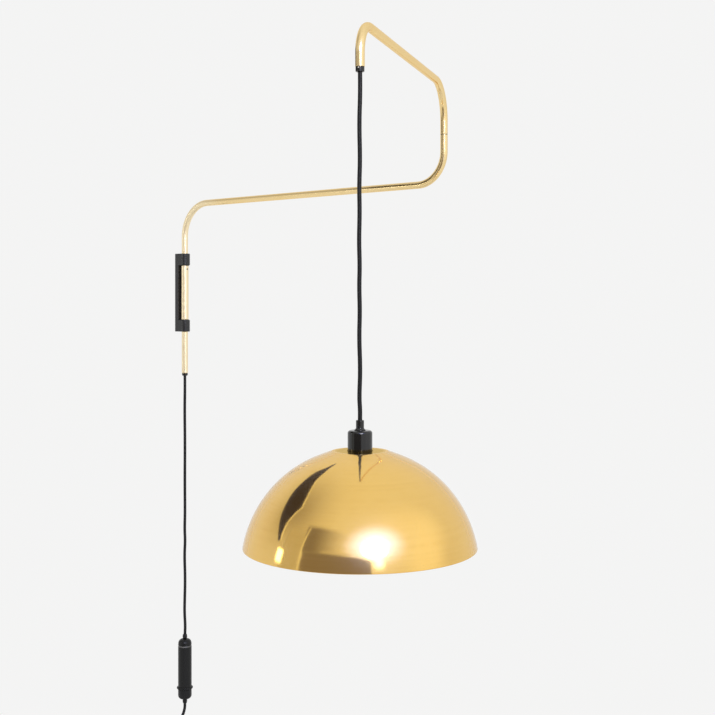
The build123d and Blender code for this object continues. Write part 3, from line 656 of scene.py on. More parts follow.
pendantRoute = waveRoute(cordPivot, cordPivot.z, gripTop, pendantWaves)
pendantRoute.append(Vector((cordPivot.x, cordPivot.y, pendantEnd)))
pendantCord = layCord("pendantCord", pendantRoute, cordDiameter)
dressPiece(pendantCord, blacks["blackSheath"], "pendant", "cord", "pendant_cord")

wallRoute = waveRoute(wallAxis, wallHigh, wallLow, wallWaves)
leadStart = Vector((wallAxis.x, wallAxis.y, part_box("lead")[1].z))
leadRoute = [leadStart + Vector((x, 0, z)) for x, z in leadSteps]
coilPoints, coilEnd = coilRoute(leadRoute[-1])
tailRoute = [coilEnd + Vector((x, 0, z)) for x, z in tailSteps]
mainsRoute = wallRoute + leadRoute + coilPoints + tailRoute
mainsCord = layCord("mainsCord", mainsRoute, cordDiameter)
dressPiece(mainsCord, blacks["blackSheath"], "bracket", "cord",
           "wall_cord", "lead", "lead_coil", "lead_tail")
print("cords laid")


# brass dome, turned from its section

domeSection = {
    "flatRadius": 0.0442,
    "crownRise": 0.0007,  # the whole crown over the solid's
    "shoulderRise": 0.0013,  # the flat over the crown, within the shoulder
    "shoulder": 0.024,
    "seatRadius": 0.0204,  # the lampholder's cap sits in here
    "nutRadius": 0.0245,
    "wall": 0.001,
    "holeRadius": 0.0172,
    "hemHeight": 0.004,
    "hemWidth": 0.0022,
    "creaseSoftness": 0.005,
    "hemSoftness": 0.0007,
    "levelFrom": 0.97,  # faces that point up more than this are the flat
    "outerRings": 60,
    "innerRings": 40,
    "steps": 240,
}


def makeDome():
    size = domeSection
    low, high, mouth = roundBox("shade")
    tall = high.z - low.z + size["crownRise"]
    sunk = (tall ** 2 + size["flatRadius"] ** 2 - mouth ** 2) / (2 * tall)  # the ball's middle, from the rim
    ball = math.hypot(mouth, sunk)

    def arc(radius, first, last, rings):
        start = math.asin((first - sunk) / radius)
        sweep = math.asin((last - sunk) / radius) - start
        points = []
        for ring in range(rings + 1):
            angle = start + sweep * ring / rings
            across = radius * math.cos(angle)
            near = max(0, 1 - max(0, across - size["flatRadius"]) / size["shoulder"])  # 1 at the flat
            height = low.z + sunk + radius * math.sin(angle) + size["shoulderRise"] * near ** 2
            points.append([across, height, 0])
        return points

    outer = arc(ball, 0, tall, size["outerRings"])
    outer[0][2] = size["hemSoftness"]
    outer[-1][2] = size["creaseSoftness"]
    inner = arc(ball - size["wall"], tall - size["wall"], size["hemHeight"], size["innerRings"])
    flat = outer[-1][1]
    under = high.z - size["wall"]
    top = [
        [size["seatRadius"], flat, fine],
        [size["seatRadius"], high.z, crisp],
        [size["holeRadius"], high.z, fine],
        [size["holeRadius"], under, fine],
        [size["nutRadius"], under, crisp],
        [size["nutRadius"], flat - size["wall"], crisp],
    ]
    hemSide = mouth - size["hemWidth"]
    hem = [[hemSide, low.z + size["hemHeight"], eased], [hemSide, low.z, size["hemSoftness"]]]
    dome = turnPiece("domeShade", outer + top + inner + hem, domeMiddle, steps=size["steps"], segments=4)
    dressPiece(dome, brassDome, "pendant", "brass", "shade")
    dome.data.materials.append(brassInside)
    dome.data.materials.append(brassCrown)
    middle = Vector((domeMiddle.x, domeMiddle.y, low.z + sunk))
    # faces that point up take the copy of the finish with the painted reflection tint
    for face in dome.data.polygons:
        isInside = face.normal.dot(face.center - middle) < 0
        isFlat = face.normal.z > size["levelFrom"]
        face.material_index = 1 if isInside else 2 if isFlat else 0
    return dome


domeShade = makeDome()
print("dome turned:", len(domeShade.data.polygons), "faces")


# arms, each one bent tube

tubeSize = {"radius": 0.0075, "wall": 0.001, "lip": 0.0002, "sides": 64, "bendSteps": 28}
lowerBends = {"wall": 0.080, "elbow": 0.065, "height": 0.219}
upperBends = {"elbow": 0.072, "end": 0.052, "height": 0.4175}
ferruleSize = {
    "exitHeight": 0.008,
    "exitEdge": 0.0007,
    "chamfer": 0.0016,
    "plug": 0.013,
    "cordHole": 0.0039,
    "flare": 0.001,
}


def makeLowerArm():
    low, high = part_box("lower_arm")
    reach = wallAxis.y - elbowAxis.y
    legs = [
        {"run": lowerBends["height"] - lowerBends["wall"] - low.z},
        {"bend": lowerBends["wall"], "turn": -90},
        {"run": reach - lowerBends["wall"] - lowerBends["elbow"]},
        {"bend": lowerBends["elbow"], "turn": 90},
        {"run": high.z - lowerBends["height"] - lowerBends["elbow"]},
    ]
    return bendTube("lowerArmTube", (wallAxis.x, wallAxis.y, low.z), intoRoom, legs, tubeSize)


def makeUpperArm():
    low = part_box("upper_arm")[0]
    reach = math.hypot(cordPivot.x - elbowAxis.x, cordPivot.y - elbowAxis.y)
    drop = upperBends["height"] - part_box("exit_ferrule")[0].z - ferruleSize["exitHeight"]
    legs = [
        {"run": upperBends["height"] - upperBends["elbow"] - low.z},
        {"bend": upperBends["elbow"], "turn": -90},
        {"run": reach - upperBends["elbow"] - upperBends["end"]},
        {"bend": upperBends["end"], "turn": -90},
        {"run": drop - upperBends["end"]},
    ]
    return bendTube("upperArmTube", (elbowAxis.x, elbowAxis.y, low.z), alongUpper, legs, tubeSize)


lowerArmTube = dressPiece(makeLowerArm(), brassTube, "lower_arm", "brass", "lower_arm")
upperArmTube = dressPiece(makeUpperArm(), brassTube, "upper_arm", "brass", "upper_arm")
print("arms bent:", len(lowerArmTube.data.polygons) + len(upperArmTube.data.polygons), "faces")


# sleeve between the eyes, with its screw hole

sleeveHole = 0.00202  # radius


def makeSleeve():
    low, high, outside = roundBox("pivot_sleeve")
    bore = tubeSize["radius"] + fit
    corners = ringSection(bore, outside, low, high, (crisp, soft, soft, crisp))
    sleeve = turnPiece("pivotSleeve", corners, wallAxis)
    start = screwHole("sleeve_screw", wallAxis)[0]
    drillHole(sleeve, start, intoRoom, sleeveHole, 2 * outside)
    drillHole(lowerArmTube, start, intoRoom, sleeveHole, outside)
    smoothPiece(lowerArmTube)
    smoothPiece(sleeve)
    return sleeve


dressPiece(makeSleeve(), brassTube, "lower_arm", "brass", "pivot_sleeve")


# black ferrules at the tube ends, and the washer between the tubes

def makeWallFerrule():
    low, high, outside = roundBox("wall_ferrule")
    tubeEnd = high.z - ferruleSize["plug"]
    bore = tubeSize["radius"] - tubeSize["wall"] - fit
    hole = ferruleSize["cordHole"]
    corners = [
        (hole, low.z, eased),
        (outside - ferruleSize["chamfer"], low.z, full),
        (outside, low.z + ferruleSize["chamfer"], full),
        (outside, tubeEnd, crisp),
        (bore, tubeEnd, 0),
        (bore, high.z, crisp),
        (hole, high.z, 0),
    ]
    return turnPiece("wallFerrule", corners, wallAxis, steps=72)


def makeExitFerrule():
    low, high, outside = roundBox("exit_ferrule")
    tubeEnd = low.z + ferruleSize["exitHeight"]
    bore = tubeSize["radius"] - tubeSize["wall"] - fit
    hole = ferruleSize["cordHole"]
    corners = [
        (hole + ferruleSize["flare"], low.z, eased),
        (outside, low.z, ferruleSize["exitEdge"]),
        (outside, tubeEnd, crisp),
        (bore, tubeEnd, 0),
        (bore, high.z, crisp),
        (hole, high.z, 0),
        (hole, cordPivot.z, soft),
    ]
    ferrule = turnPiece("exitFerrule", corners, cordPivot, steps=72)
    start, radius = screwHole("exit_screw", cordPivot)
    drillHole(ferrule, start, alongUpper, radius, 2 * outside)
    smoothPiece(ferrule)
    return ferrule


def makeElbowWasher():
    low, high, outside = roundBox("elbow_washer")
    bore = tubeSize["radius"] - tubeSize["wall"]
    corners = ringSection(bore, outside, low, high, (0, fine, fine, 0))
    return turnPiece("elbowWasher", corners, elbowAxis, steps=72)


dressPiece(makeWallFerrule(), blacks["blackGloss"], "lower_arm", "black_plastic", "wall_ferrule")
dressPiece(makeExitFerrule(), blacks["blackGloss"], "upper_arm", "black_plastic", "exit_ferrule")
dressPiece(makeElbowWasher(), blacks["blackNylon"], "lower_arm", "nylon", "elbow_washer")
print("sleeve, ferrules and washer turned")


# wall bracket: a bar with an eye at each end

bracketSize = {"barDepth": 0.012, "eyeHeight": 0.029, "eyeBore": 0.00907, "edge": 0.0011}
wallScrews = {"spacing": 0.090, "hole": 0.00225, "head": 0.0045, "drillLead": 0.001}


def makeBracket():
    low, high, half = roundBox("wall_bracket")
    bracket = addPiece("wallBracket", bpy.ops.mesh.primitive_circle_add, vertices=96, radius=half,
                       location=(wallAxis.x, wallAxis.y, low.z))
    settlePiece(bracket)
    pickVerts(bracket, lambda place: place.y > wallAxis.y + weld)  # the half circle towards the room stays
    bpy.ops.mesh.delete(type="VERT")
    pickVerts(bracket, lambda place: abs(place.y - wallAxis.y) < weld)
    bpy.ops.mesh.extrude_vertices_move(TRANSFORM_OT_translate={"value": (0, -wallAxis.y, 0)})
    bpy.ops.mesh.edge_face_add()
    bpy.ops.mesh.select_all(action="SELECT")
    bpy.ops.mesh.edge_face_add()
    bpy.ops.mesh.extrude_region_move(TRANSFORM_OT_translate={"value": (0, 0, high.z - low.z)})
    faceOutwards()
    bpy.ops.mesh.select_all(action="DESELECT")

    window = (high.z - low.z) - 2 * bracketSize["eyeHeight"]
    depth = -low.y  # more than the window needs
    cutter = addPiece("windowCutter", bpy.ops.mesh.primitive_cube_add, size=1)
    cutter.scale = (4 * half, depth, window)
    cutter.location = (0, -bracketSize["barDepth"] - depth / 2, 0)
    cutAway(bracket, cutter)
    roundEdges(bracket, bracketSize["edge"], segments=3, degrees=50)
    start = Vector((wallAxis.x, wallAxis.y, low.z - half))
    drillHole(bracket, start, up, bracketSize["eyeBore"], 2 * half + (high.z - low.z))
    for side in (-1, 1):
        front = Vector((0, -bracketSize["barDepth"], side * wallScrews["spacing"] / 2))
        start = front + intoRoom * wallScrews["drillLead"]
        drillHole(bracket, start, -intoRoom, wallScrews["hole"], 2 * bracketSize["barDepth"])
        sink = wallScrews["head"] - wallScrews["hole"]
        countersink = addPiece("countersink", bpy.ops.mesh.primitive_cone_add, vertices=48, depth=sink,
                               radius1=wallScrews["hole"], radius2=wallScrews["head"])
        countersink.rotation_euler = intoRoom.to_track_quat("Z", "Y").to_euler()
        countersink.location = front - intoRoom * (sink / 2 - fit)
        cutAway(bracket, countersink)
    smoothPiece(bracket, degrees=30)
    return bracket


wallBracket = dressPiece(makeBracket(), blacks["blackCasting"], "bracket", "black_metal", "wall_bracket")
print("bracket made:", len(wallBracket.data.polygons), "faces")


# lampholder above and inside the dome

holderSize = {
    "capWall": 0.002,
    "capEdge": 0.0045,
    "capFoot": 0.0006,  # the cap's lower edge draws in by this
    "capFootHeight": 0.0014,
    "capFootRound": 0.001,
    "ceilingRound": 0.0015,
    "gripFoot": 0.009,
    "gripFootHeight": 0.0008,
    "gripNeck": 0.0064,
    "neckHeight": 0.0032,
    "neckRound": 0.0018,
    "neckEdge": 0.0009,
    "skirtWall": 0.0018,
    "ledge": 0.002,
    "threadStart": 0.002,
    "threadPitch": 0.002,
    "threadDepth": 0.0005,
}


def makeHolderCap():
    low, high, outside = roundBox("lampholder_cap")
    bore = outside - holderSize["capWall"]
    ceiling = high.z - holderSize["capWall"]
    hole = ferruleSize["cordHole"]
    corners = [
        (outside - holderSize["capFoot"], low.z, fine),
        (outside, low.z + holderSize["capFootHeight"], holderSize["capFootRound"]),
        (outside, high.z, holderSize["capEdge"]),
        (hole, high.z, fine),
        (hole, ceiling, 0),
        (bore, ceiling, holderSize["ceilingRound"]),
        (bore, low.z, fine),
    ]
    return turnPiece("holderCap", corners, domeMiddle, steps=120, segments=8)


def makeCordGrip():
    low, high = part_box("cord_grip")
    foot, neck = holderSize["gripFoot"], holderSize["gripNeck"]
    hole = ferruleSize["cordHole"]
    corners = [
        (hole, low.z, 0),
        (foot, low.z, fine),
        (foot, low.z + holderSize["gripFootHeight"], soft),
        (neck, low.z + holderSize["neckHeight"], holderSize["neckRound"]),
        (neck, high.z, holderSize["neckEdge"]),
        (hole, high.z, full),
    ]
    grip = turnPiece("cordGrip", corners, domeMiddle, steps=72)
    start, radius = screwHole("grip_screw", domeMiddle)
    drillHole(grip, start, alongUpper, radius, 2 * neck)
    smoothPiece(grip)
    return grip


def threadRun(radius, low, high, pitch, depth):  # a rippled stretch of a section, from low to high
    softness = 0.15 * pitch
    corners = []
    for turn in range(int((high - low) / pitch)):
        base = low + turn * pitch
        corners.append((radius, base + 0.25 * pitch, softness))
        corners.append((radius - depth, base + 0.75 * pitch, softness))
    return corners


def makeHolderSkirt():
    size = holderSize
    low, high, outside = roundBox("lampholder_skirt")
    bore = outside - size["skirtWall"]
    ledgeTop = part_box("lampholder_insert")[0].z
    ledgeLow = ledgeTop - size["ledge"]
    shellSide = roundBox("screw_shell")[2] + fit
    threadStart = low.z + size["threadStart"]
    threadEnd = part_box("shade_ring")[0].z
    corners = [(bore, low.z, fine), (outside, low.z, full)]
    corners += threadRun(outside, threadStart, threadEnd, size["threadPitch"], size["threadDepth"])
    corners += [
        (outside, high.z, fine),
        (bore, high.z, 0),
        (bore, ledgeTop, 0),
        (shellSide, ledgeTop, 0),
        (shellSide, ledgeLow, 0),
        (bore, ledgeLow, 0),
    ]
    return turnPiece("holderSkirt", corners, domeMiddle, segments=3)


ringNut = {
    "wide": 0.006,
    "edge": 0.001,
    "notches": 12,
    "notchWidth": 0.30,
    "notchDepth": 0.0016,
    "notchRun": 0.0012,
}


def makeRingNut():
    low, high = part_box("shade_ring")
    skirt = roundBox("lampholder_skirt")[2]
    outside = skirt + ringNut["wide"]
    corners = ringSection(skirt + fit, outside, low, high, (eased, ringNut["edge"], eased, 0))
    nut = turnPiece("ringNut", corners, domeMiddle, steps=240)
    notchRim(nut, domeMiddle, outside - ringNut["notchRun"], ringNut)
    return nut


for maker, node in (
    (makeHolderCap, "lampholder_cap"),
    (makeCordGrip, "cord_grip"),
    (makeHolderSkirt, "lampholder_skirt"),
    (makeRingNut, "shade_ring"),
):
    dressPiece(maker(), blacks["blackGloss"], "pendant", "black_plastic", node)
print("lampholder turned")


# bulb

bulbSize = {
    "wall": 0.001,
    "neckLength": 0.010,
    "neckPlay": 0.0003,
    "flare": 0.040,
    "flareRings": 10,
    "rings": 28,
    "capWall": 0.0005,
    "capThick": 0.0015,
    "capTop": 0.001,
    "capTaper": 0.0014,
    "threadMargin": 0.002,
    "threadPitch": 0.0036,
    "threadDepth": 0.0009,
}


def makeBulbGlass():
    size = bulbSize
    low, high, ball = roundBox("bulb_glass")
    neck = roundBox("bulb_cap")[2] - size["capWall"] - size["neckPlay"]
    neckEnd = high.z - size["neckLength"]
    flare = size["flare"]
    lean = math.acos((neck + flare) / (ball + flare))
    middle = low.z + ball

    def wall(inset):  # the neck, its flare and the ball, from the top down
        points = [(neck - inset, high.z, 0)]
        radius = flare + inset
        for ring in range(size["flareRings"] + 1):
            turn = lean * ring / size["flareRings"]
            points.append((neck + flare - radius * math.cos(turn), neckEnd - radius * math.sin(turn), 0))
        radius = ball - inset
        for ring in range(1, size["rings"] + 1):
            turn = lean - (lean + math.radians(90)) * ring / size["rings"]
            points.append((radius * math.cos(turn), middle + radius * math.sin(turn), 0))
        return points

    return turnPiece("bulbGlass", wall(0) + wall(size["wall"])[::-1], domeMiddle, steps=120)


def makeBulbCap():
    size = bulbSize
    low, high, outside = roundBox("bulb_cap")
    inside = outside - size["capThick"]
    margin = size["threadMargin"]
    corners = [(inside, low.z, 0), (outside, low.z, eased)]
    corners += threadRun(outside, low.z + margin, high.z - margin, size["threadPitch"], size["threadDepth"])
    corners += [
        (outside - size["capTaper"], high.z, full),
        (0, high.z, 0),
        (0, high.z - size["capTop"], 0),
        (inside, high.z - size["capTop"], 0),
    ]
    return turnPiece("bulbCap", corners, domeMiddle, segments=4)


dressPiece(makeBulbGlass(), opal, "pendant", "opal_glass", "bulb_glass")
dressPiece(makeBulbCap(), metals["nickelPlate"], "pendant", "nickel", "bulb_cap")
print("bulb made")


# cord dimmer

dimmerSize = {
    "capRound": 0.0105,
    "capTaper": 0.0016,
    "endRound": 0.009,
    "groove": 0.0013,
    "grooveLean": 0.8,  # height of the cap's groove over its depth
    "flank": 0.003,
    "flankRound": 0.001,
    "neckStep": 0.006,
    "wheelGap": 0.00015,
    "gripEnd": 0.0043,
    "gripRings": 6,
}
wheelSize = {
    "step": 0.003,
    "rim": 0.0024,
    "play": 0.00005,
    "notches": 20,
    "notchWidth": 0.34,
    "notchDepth": 0.0013,
    "notchFrom": 0.0008,
}


def makeDimmerCap():
    low, high, outside = roundBox("dimmer_cap")
    groove = dimmerSize["groove"]
    corners = [
        (0, low.z, 0),
        (outside - groove, low.z, crisp),
        (outside, low.z + dimmerSize["grooveLean"] * groove, eased),
        (outside - dimmerSize["capTaper"], high.z, dimmerSize["capRound"]),
        (0, high.z, 0),
    ]
    return turnPiece("dimmerCap", corners, wallAxis, segments=12)


def makeDimmerBarrel():
    low, high, outside = roundBox("dimmer_barrel")
    neck = outside - dimmerSize["neckStep"]
    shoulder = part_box("dimmer_wheel")[1].z + dimmerSize["wheelGap"]
    corners = [
        (0, low.z, 0),
        (neck, low.z, 0),
        (neck, shoulder, 0),
        (outside, shoulder, soft),
        (outside, high.z - dimmerSize["flank"], dimmerSize["flankRound"]),
        (outside - dimmerSize["groove"], high.z, fine),
        (0, high.z, 0),
    ]
    return turnPiece("dimmerBarrel", corners, wallAxis)


def makeDimmerEnd():
    low, high, outside = roundBox("dimmer_end")
    corners = ringSection(0, outside, low, high, (0, dimmerSize["endRound"], soft, 0))
    return turnPiece("dimmerEnd", corners, wallAxis, segments=12)


def makeDimmerGrip(name, node):  # a bead on the cord
    low, high, waist = roundBox(node)
    middle = (low.z + high.z) / 2
    end = dimmerSize["gripEnd"]
    bead = (high.z - low.z) / 2
    corners = [(0, low.z, 0)]
    for ring in range(2 * dimmerSize["gripRings"] + 1):
        share = ring / dimmerSize["gripRings"] - 1
        corners.append((end + (waist - end) * (1 - share ** 2), middle + bead * share, 0))
    corners.append((0, high.z, 0))
    return turnPiece(name, corners, wallAxis, steps=64)


def makeDimmerWheel():
    low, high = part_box("dimmer_wheel")
    body = roundBox("dimmer_barrel")[2]
    bore = body - dimmerSize["neckStep"] + wheelSize["play"]
    outside = body + wheelSize["step"]
    middle = (low.z + high.z) / 2
    corners = [
        (bore, low.z, 0),
        (body, low.z, fine),
        (outside, middle - wheelSize["rim"] / 2, soft),
        (outside, middle + wheelSize["rim"] / 2, soft),
        (body, high.z, fine),
        (bore, high.z, 0),
    ]
    wheel = turnPiece("dimmerWheel", corners, wallAxis, steps=240)
    notchRim(wheel, wallAxis, body + wheelSize["notchFrom"], wheelSize)
    return wheel


def paintFlankHighlight(barrel):  # painted highlight: the upward faces of the flank below the cap are pale grey
    barrel.data.materials.append(blacks["paintedHighlightMoulding"])
    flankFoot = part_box("dimmer_barrel")[1].z - dimmerSize["flank"]
    for face in barrel.data.polygons:
        face.material_index = 1 if face.normal.z > weld and face.center.z > flankFoot else 0


dimmerPieces = []
for piece, body, node in (
    (makeDimmerCap(), "bracket", "dimmer_cap"),
    (makeDimmerBarrel(), "bracket", "dimmer_barrel"),
    (makeDimmerEnd(), "bracket", "dimmer_end"),
    (makeDimmerGrip("dimmerTopGrip", "dimmer_top_grip"), "bracket", "dimmer_top_grip"),
    (makeDimmerGrip("dimmerBottomGrip", "dimmer_bottom_grip"), "bracket", "dimmer_bottom_grip"),
    (makeDimmerWheel(), "dimmer_wheel", "dimmer_wheel"),
):
    dimmerPieces.append(dressPiece(piece, blacks["blackMoulding"], body, "dimmer_plastic", node))
paintFlankHighlight(dimmerPieces[1])
print("dimmer turned:", len(dimmerPieces), "pieces")


# plug at the end of the lead

plugSize = {
    "reliefRadius": 0.0053,
    "reliefHeight": 0.014,
    "rings": 3,
    "groove": 0.001,
    "taper": 0.018,
    "taperSteps": 8,
    "shoulderWidth": 0.0146,
    "reliefFoot": 0.0004,
    "tipInset": 0.0006,
    "edge": 0.0012,
    "sides": 96,
}


def makePlug():
    size = plugSize
    low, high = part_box("plug_body")
    middle = (low + high) / 2
    wide, thick = (high.x - low.x) / 2, (high.y - low.y) / 2
    plug = addPiece("plugBody", bpy.ops.mesh.primitive_circle_add, vertices=size["sides"], radius=thick,
                    location=(middle.x, middle.y, low.z))
    settlePiece(plug)
    for side in (-1, 1):  # the circle is pulled out into a flat oval
        pickVerts(plug, lambda place: (place.x - middle.x) * side > weld)
        bpy.ops.transform.translate(value=(side * (wide - thick), 0, 0))
    bodyHeight = high.z - low.z - size["reliefHeight"] - size["taper"]
    sections = [(bodyHeight, wide, thick)]
    for step in range(1, size["taperSteps"] + 1):  # the shoulder runs in a soft curve to the relief
        ease = 0.5 - 0.5 * math.cos(math.pi * step / size["taperSteps"])
        halfWide = wide + (size["shoulderWidth"] / 2 - wide) * ease
        halfThick = thick + (size["reliefRadius"] - thick) * ease
        sections.append((size["taper"] / size["taperSteps"], halfWide, halfThick))
    relief = size["reliefRadius"]
    waist = relief - size["groove"]
    sections.append((size["reliefFoot"], relief, relief))
    ringStep = (size["reliefHeight"] - size["reliefFoot"]) / (4 * size["rings"] + 2)
    for radius in [relief, waist, waist, relief] * size["rings"] + [relief, relief - size["tipInset"]]:
        sections.append((ringStep, radius, radius))
    bpy.ops.mesh.select_all(action="SELECT")
    nowWide, nowThick = wide, thick
    for rise, halfWide, halfThick in sections:
        bpy.ops.mesh.extrude_edges_move(TRANSFORM_OT_translate={"value": (0, 0, rise)})
        ratio = (halfWide / nowWide, halfThick / nowThick, 1)
        bpy.ops.transform.resize(value=ratio, center_override=middle)
        nowWide, nowThick = halfWide, halfThick
    bpy.ops.mesh.edge_face_add()
    pickVerts(plug, lambda place: abs(place.z - low.z) < weld)
    bpy.ops.mesh.edge_face_add()
    faceOutwards()
    roundEdges(plug, size["edge"], segments=4, degrees=60)
    smoothPiece(plug, degrees=40)
    return plug


pinTip = 0.0016  # its rounding


def makePin(name, node):
    low, high, radius = roundBox(node)
    corners = ringSection(0, radius, low, high, (0, pinTip, 0, 0))
    return turnPiece(name, corners, (low + high) / 2, steps=48, segments=8)


plugBody = dressPiece(makePlug(), blacks["blackMoulding"], "bracket", "dimmer_plastic", "plug_body")
plugPins = []
for name, node in (("plugPinLeft", "plug_pin_left"), ("plugPinRight", "plug_pin_right")):
    plugPins.append(dressPiece(makePin(name, node), metals["nickelPlate"], "bracket", "nickel", node))


# strap round the coil

strapSize = {"wall": 0.0012, "corner": 0.0024, "segments": 6, "edge": 0.0003}


def makeStrap():
    low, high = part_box("lead_tie")
    strap = addPiece("leadStrap", bpy.ops.mesh.primitive_cube_add, size=1, location=(low + high) / 2,
                     scale=high - low)
    settlePiece(strap)

    def runsAcross(edge):
        first, last = (strap.data.vertices[end].co for end in edge.vertices)
        return abs(first.x - last.x) > weld

    pickParts(strap, "EDGE", runsAcross)
    bpy.ops.mesh.bevel(offset=strapSize["corner"], segments=strapSize["segments"])
    pickParts(strap, "FACE", lambda face: abs(face.normal.x) > 0.9)  # the open sides
    bpy.ops.mesh.delete(type="FACE")
    faceOutwards()
    applyModifier(strap, "SOLIDIFY", thickness=strapSize["wall"], offset=-1, use_even_offset=True)
    roundEdges(strap, strapSize["edge"], segments=2, degrees=60)
    smoothPiece(strap, degrees=40)
    return strap


leadStrap = dressPiece(makeStrap(), blacks["blackStrap"], "bracket", "tie", "lead_tie")
print("plug, pins and strap made")


# finishes of the CAD pieces that stay

keptNodes = {
    "upper_bush": blacks["blackNylon"],
    "lower_bush": blacks["blackNylon"],
    "elbow_pin": metals["blackenedSteel"],
    "sleeve_screw": metals["blackenedSteel"],
    "exit_screw": metals["nickelPlate"],
    "grip_screw": blacks["blackNylon"],
    "lower_flex": blacks["blackSheath"],
    "upper_flex": blacks["blackSheath"],
    "lampholder_insert": blacks["blackInsulator"],
    "bulb_insulator": blacks["blackInsulator"],
    "screw_shell": metals["plainBrass"],
    "centre_contact": metals["plainBrass"],
    "bulb_tip": metals["plainBrass"],
}
for node, finish in keptNodes.items():
    mesh = frame["nodes"][node].data
    mesh.materials.clear()
    mesh.materials.append(finish)
print("CAD pieces finished:", len(keptNodes))

onMains = dimmerPieces + [plugBody, leadStrap] + plugPins


# stage: floor, reflection cards and lights

cardHub = Vector((cordPivot.x, cordPivot.y, -0.36))  # in the dome: cards and lamps are placed from here
floorSize = {"place": (-0.3, -0.6, -1.75), "radius": 1.6, "tone": (0.86, 0.86, 0.855, 1), "roughness": 0.8}


def fromHub(azimuth, elevation, distance):  # azimuth from the camera, positive to the right
    turn, lift = math.radians(azimuth), math.radians(elevation)
    level = pictureBack * math.cos(turn) + pictureRight * math.sin(turn)
    return cardHub + (level * math.cos(lift) + up * math.sin(lift)) * distance


def makeFloor():
    floor = addPiece("floor", bpy.ops.mesh.primitive_circle_add, vertices=96, radius=floorSize["radius"],
                     fill_type="NGON", location=floorSize["place"])
    material, wire = startMaterial("paleFloor")
    closeMaterial(material, wire, Base_Color=floorSize["tone"], Roughness=floorSize["roughness"])
    floor.data.materials.append(material)


def finishCard(card, material):  # seen in reflections alone
    card.data.materials.append(material)
    card.visible_camera = False
    card.visible_diffuse = False
    card.visible_shadow = False
    card.visible_transmission = False
    card.visible_volume_scatter = False


def cardMaterial(name, colour, strength, softX, softY, form):  # softX is the fading rim of a disc
    material, wire = startMaterial(name)
    part = wire.place().split()
    sideways = abs(part) * 2
    upright = abs(part.other("Y")) * 2
    if form == "disc":
        radius = (sideways * sideways + upright * upright) ** 0.5
        mask = 1 - radius.between(1 - softX, 1.0)
    elif form == "fade":  # full on the left, gone on the right
        mask = part.between(-0.5, softX - 0.5) * (1 - upright.between(1 - softY, 1.0))
    else:
        mask = (1 - sideways.between(1 - softX, 1.0)) * (1 - upright.between(1 - softY, 1.0))
    glow = wire.put("ShaderNodeEmission", {}, {"Color": colour, "Strength": strength})
    clear = wire.put("ShaderNodeBsdfTransparent", {}, {})
    surface = wire.put("ShaderNodeMixShader", {}, {0: mask, 1: clear, 2: glow})
    wire.put("ShaderNodeOutputMaterial", {}, {"Surface": surface})
    return material


def hangCard(name, azimuth, elevation, wide, tall, distance, *finish):  # wide and tall in degrees
    card = addPiece(name, bpy.ops.mesh.primitive_plane_add, size=1)
    card.location = fromHub(azimuth, elevation, distance)
    card.rotation_euler = (cardHub - card.location).to_track_quat("Z", "Y").to_euler()
    width, height = (2 * distance * math.tan(math.radians(span / 2)) for span in (wide, tall))
    card.scale = (width, height, 1)
    finishCard(card, cardMaterial(name + "Glow", *finish))


# azimuth and elevation down both sides of the dark reflection on the dome, from its tip
darkLeft = [
    (-159, 50), (-149, 50), (-141, 46), (-130, 43), (-120, 38),
    (-110, 33), (-103, 28), (-93, 21), (-86, 15),
]
darkRight = [
    (-159, 51), (-139, 55), (-124, 54), (-111, 53), (-96, 49),
    (-87, 43), (-88, 38), (-88, 29), (-86, 21), (-84, 16),
]
brightLine = 1.6  # degrees of bright edge to the right of it


def hangOutline(name, outline, distance, colour):
    loop = [fromHub(azimuth, elevation, distance) for azimuth, elevation in outline]
    card = drawLoop(name, loop, Vector((0, 0, 0)))
    bpy.ops.mesh.fill()
    putDown()
    material, wire = startMaterial(name + "Tone")
    glow = wire.put("ShaderNodeEmission", {}, {"Color": colour, "Strength": 1.0})
    wire.put("ShaderNodeOutputMaterial", {}, {"Surface": glow})
    finishCard(card, material)


makeFloor()
hangOutline("darkEdge", darkLeft + darkRight[::-1], distance=1.2, colour=(0.042, 0.028, 0.002, 1))
outerRight = [(azimuth + brightLine, elevation + brightLine / 2) for azimuth, elevation in darkRight]
hangOutline("brightEdge", darkRight + outerRight[::-1], distance=1.21, colour=(0.98, 0.97, 0.94, 1))
white = (1, 1, 1, 1)
# azimuth, elevation, width and height in degrees, distance, colour, strength, softness both ways and form
reflectionCards = {
    "softWindow": (15, 28.3, 28, 20, 7.4, white, 19.0, 0.35, 0, "disc"),
    "windowHalo": (16, 32, 66, 42, 7.5, (0.26, 0.32, 1, 1), 6.5, 1.0, 0, "disc"),
    "wideWindow": (42, 34, 126, 72, 9.2, white, 1.02, 0.85, 0, "disc"),
    "lowWindow": (17, 13, 14, 15, 1.5, (0.5, 0.6, 1, 1), 6.0, 0.95, 0.95, "panel"),
    "brownRoom": (-23.5, -5.6, 69, 51.6, 1.7, (0.25, 0.215, 0.19, 1), 1.0, 0.05, 0.04, "panel"),
    "brownHaze": (-35, 28.7, 43, 28, 1.75, (0.25, 0.22, 0.19, 1), 1.0, 0.85, 0.35, "fade"),
    "brownBar": (-23.5, 21, 33, 1.5, 1.65, (0.66, 0.62, 0.56, 1), 1.0, 0.4, 0.5, "panel"),
    "doorEdge": (-58, 14.8, 1.6, 46, 1.65, (0.88, 0.88, 0.85, 1), 1.0, 0.3, 0.1, "panel"),
    "sideBand": (-71, 4, 24, 66, 3.05, (0.58, 0.56, 0.50, 1), 1.0, 0.3, 0.3, "panel"),
    "farWindow": (-82.5, 8.5, 9, 11, 2.95, white, 5.5, 0.5, 0.4, "panel"),
    "brightSide": (66, 14, 60, 70, 9.4, white, 1.06, 0.9, 0.9, "panel"),
}
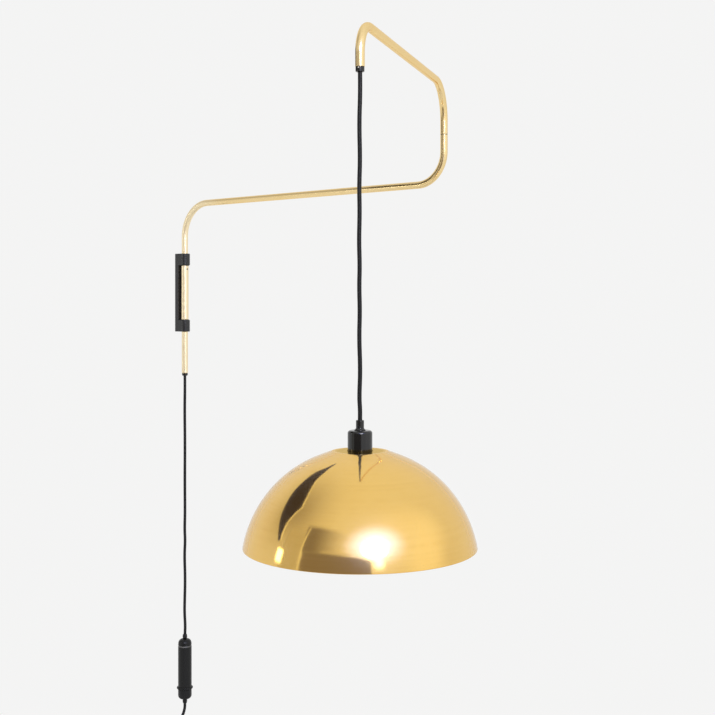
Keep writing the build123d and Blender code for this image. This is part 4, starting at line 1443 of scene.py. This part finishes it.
for name, settings in reflectionCards.items():
    hangCard(name, *settings)


def hangLamp(name, azimuth, elevation, distance, size, power):
    bpy.ops.object.light_add(type="AREA", location=fromHub(azimuth, elevation, distance))
    lamp = bpy.context.object
    lamp.name = name
    lamp.data.shape = "DISK"
    lamp.data.size = size
    lamp.data.energy = power
    lamp.rotation_euler = (cardHub - lamp.location).to_track_quat("-Z", "Y").to_euler()
    lamp.visible_glossy = False  # the cards show in the polish instead


hangLamp("keyLamp", azimuth=20, elevation=38, distance=3.2, size=1.6, power=46)
hangLamp("fillLamp", azimuth=-70, elevation=20, distance=3.2, size=1.8, power=16)

roomLight = {"backdrop": 0.905, "tone": 0.885, "sideFall": 0.08, "tint": (1, 1, 0.996, 1), "soft": 0.6}
dimCorner = {"azimuth": -95, "elevation": 42, "spread": 10, "colour": (0.53, 0.50, 0.46, 1)}  # on the left
world = bpy.data.worlds.new("paleRoom")
world.use_nodes = True
world.node_tree.nodes.clear()
bpy.context.scene.world = world
wire = Wire(world.node_tree)
path = wire.put("ShaderNodeLightPath", {}, {}, "Is Camera Ray")
shown = (path + path.other("Is Glossy Ray") + path.other("Is Transmission Ray")).clamp()
ray = wire.put("ShaderNodeTexCoord", {}, {}, "Generated")
side = ray.dot(pictureRight)
roomTone = roomLight["tone"] - side * side * roomLight["sideFall"]  # the room is dimmer to both sides
tone = path * roomLight["backdrop"] + (1 - path) * roomTone
dimWay = fromHub(dimCorner["azimuth"], dimCorner["elevation"], 1) - cardHub
dim = ray.dot(dimWay).clamp() ** dimCorner["spread"] * (1 - path)
tint = dim.blend(roomLight["tint"], dimCorner["colour"])
softSky = wire.put("ShaderNodeBackground", {}, {"Color": white, "Strength": roomLight["soft"]})
paleSky = wire.put("ShaderNodeBackground", {}, {"Color": tint, "Strength": tone})
surface = wire.put("ShaderNodeMixShader", {}, {0: shown, 1: softSky, 2: paleSky})
wire.put("ShaderNodeOutputWorld", {}, {"Surface": surface})

bpy.context.scene.view_settings.view_transform = "Standard"
putDown()
print("stage set")
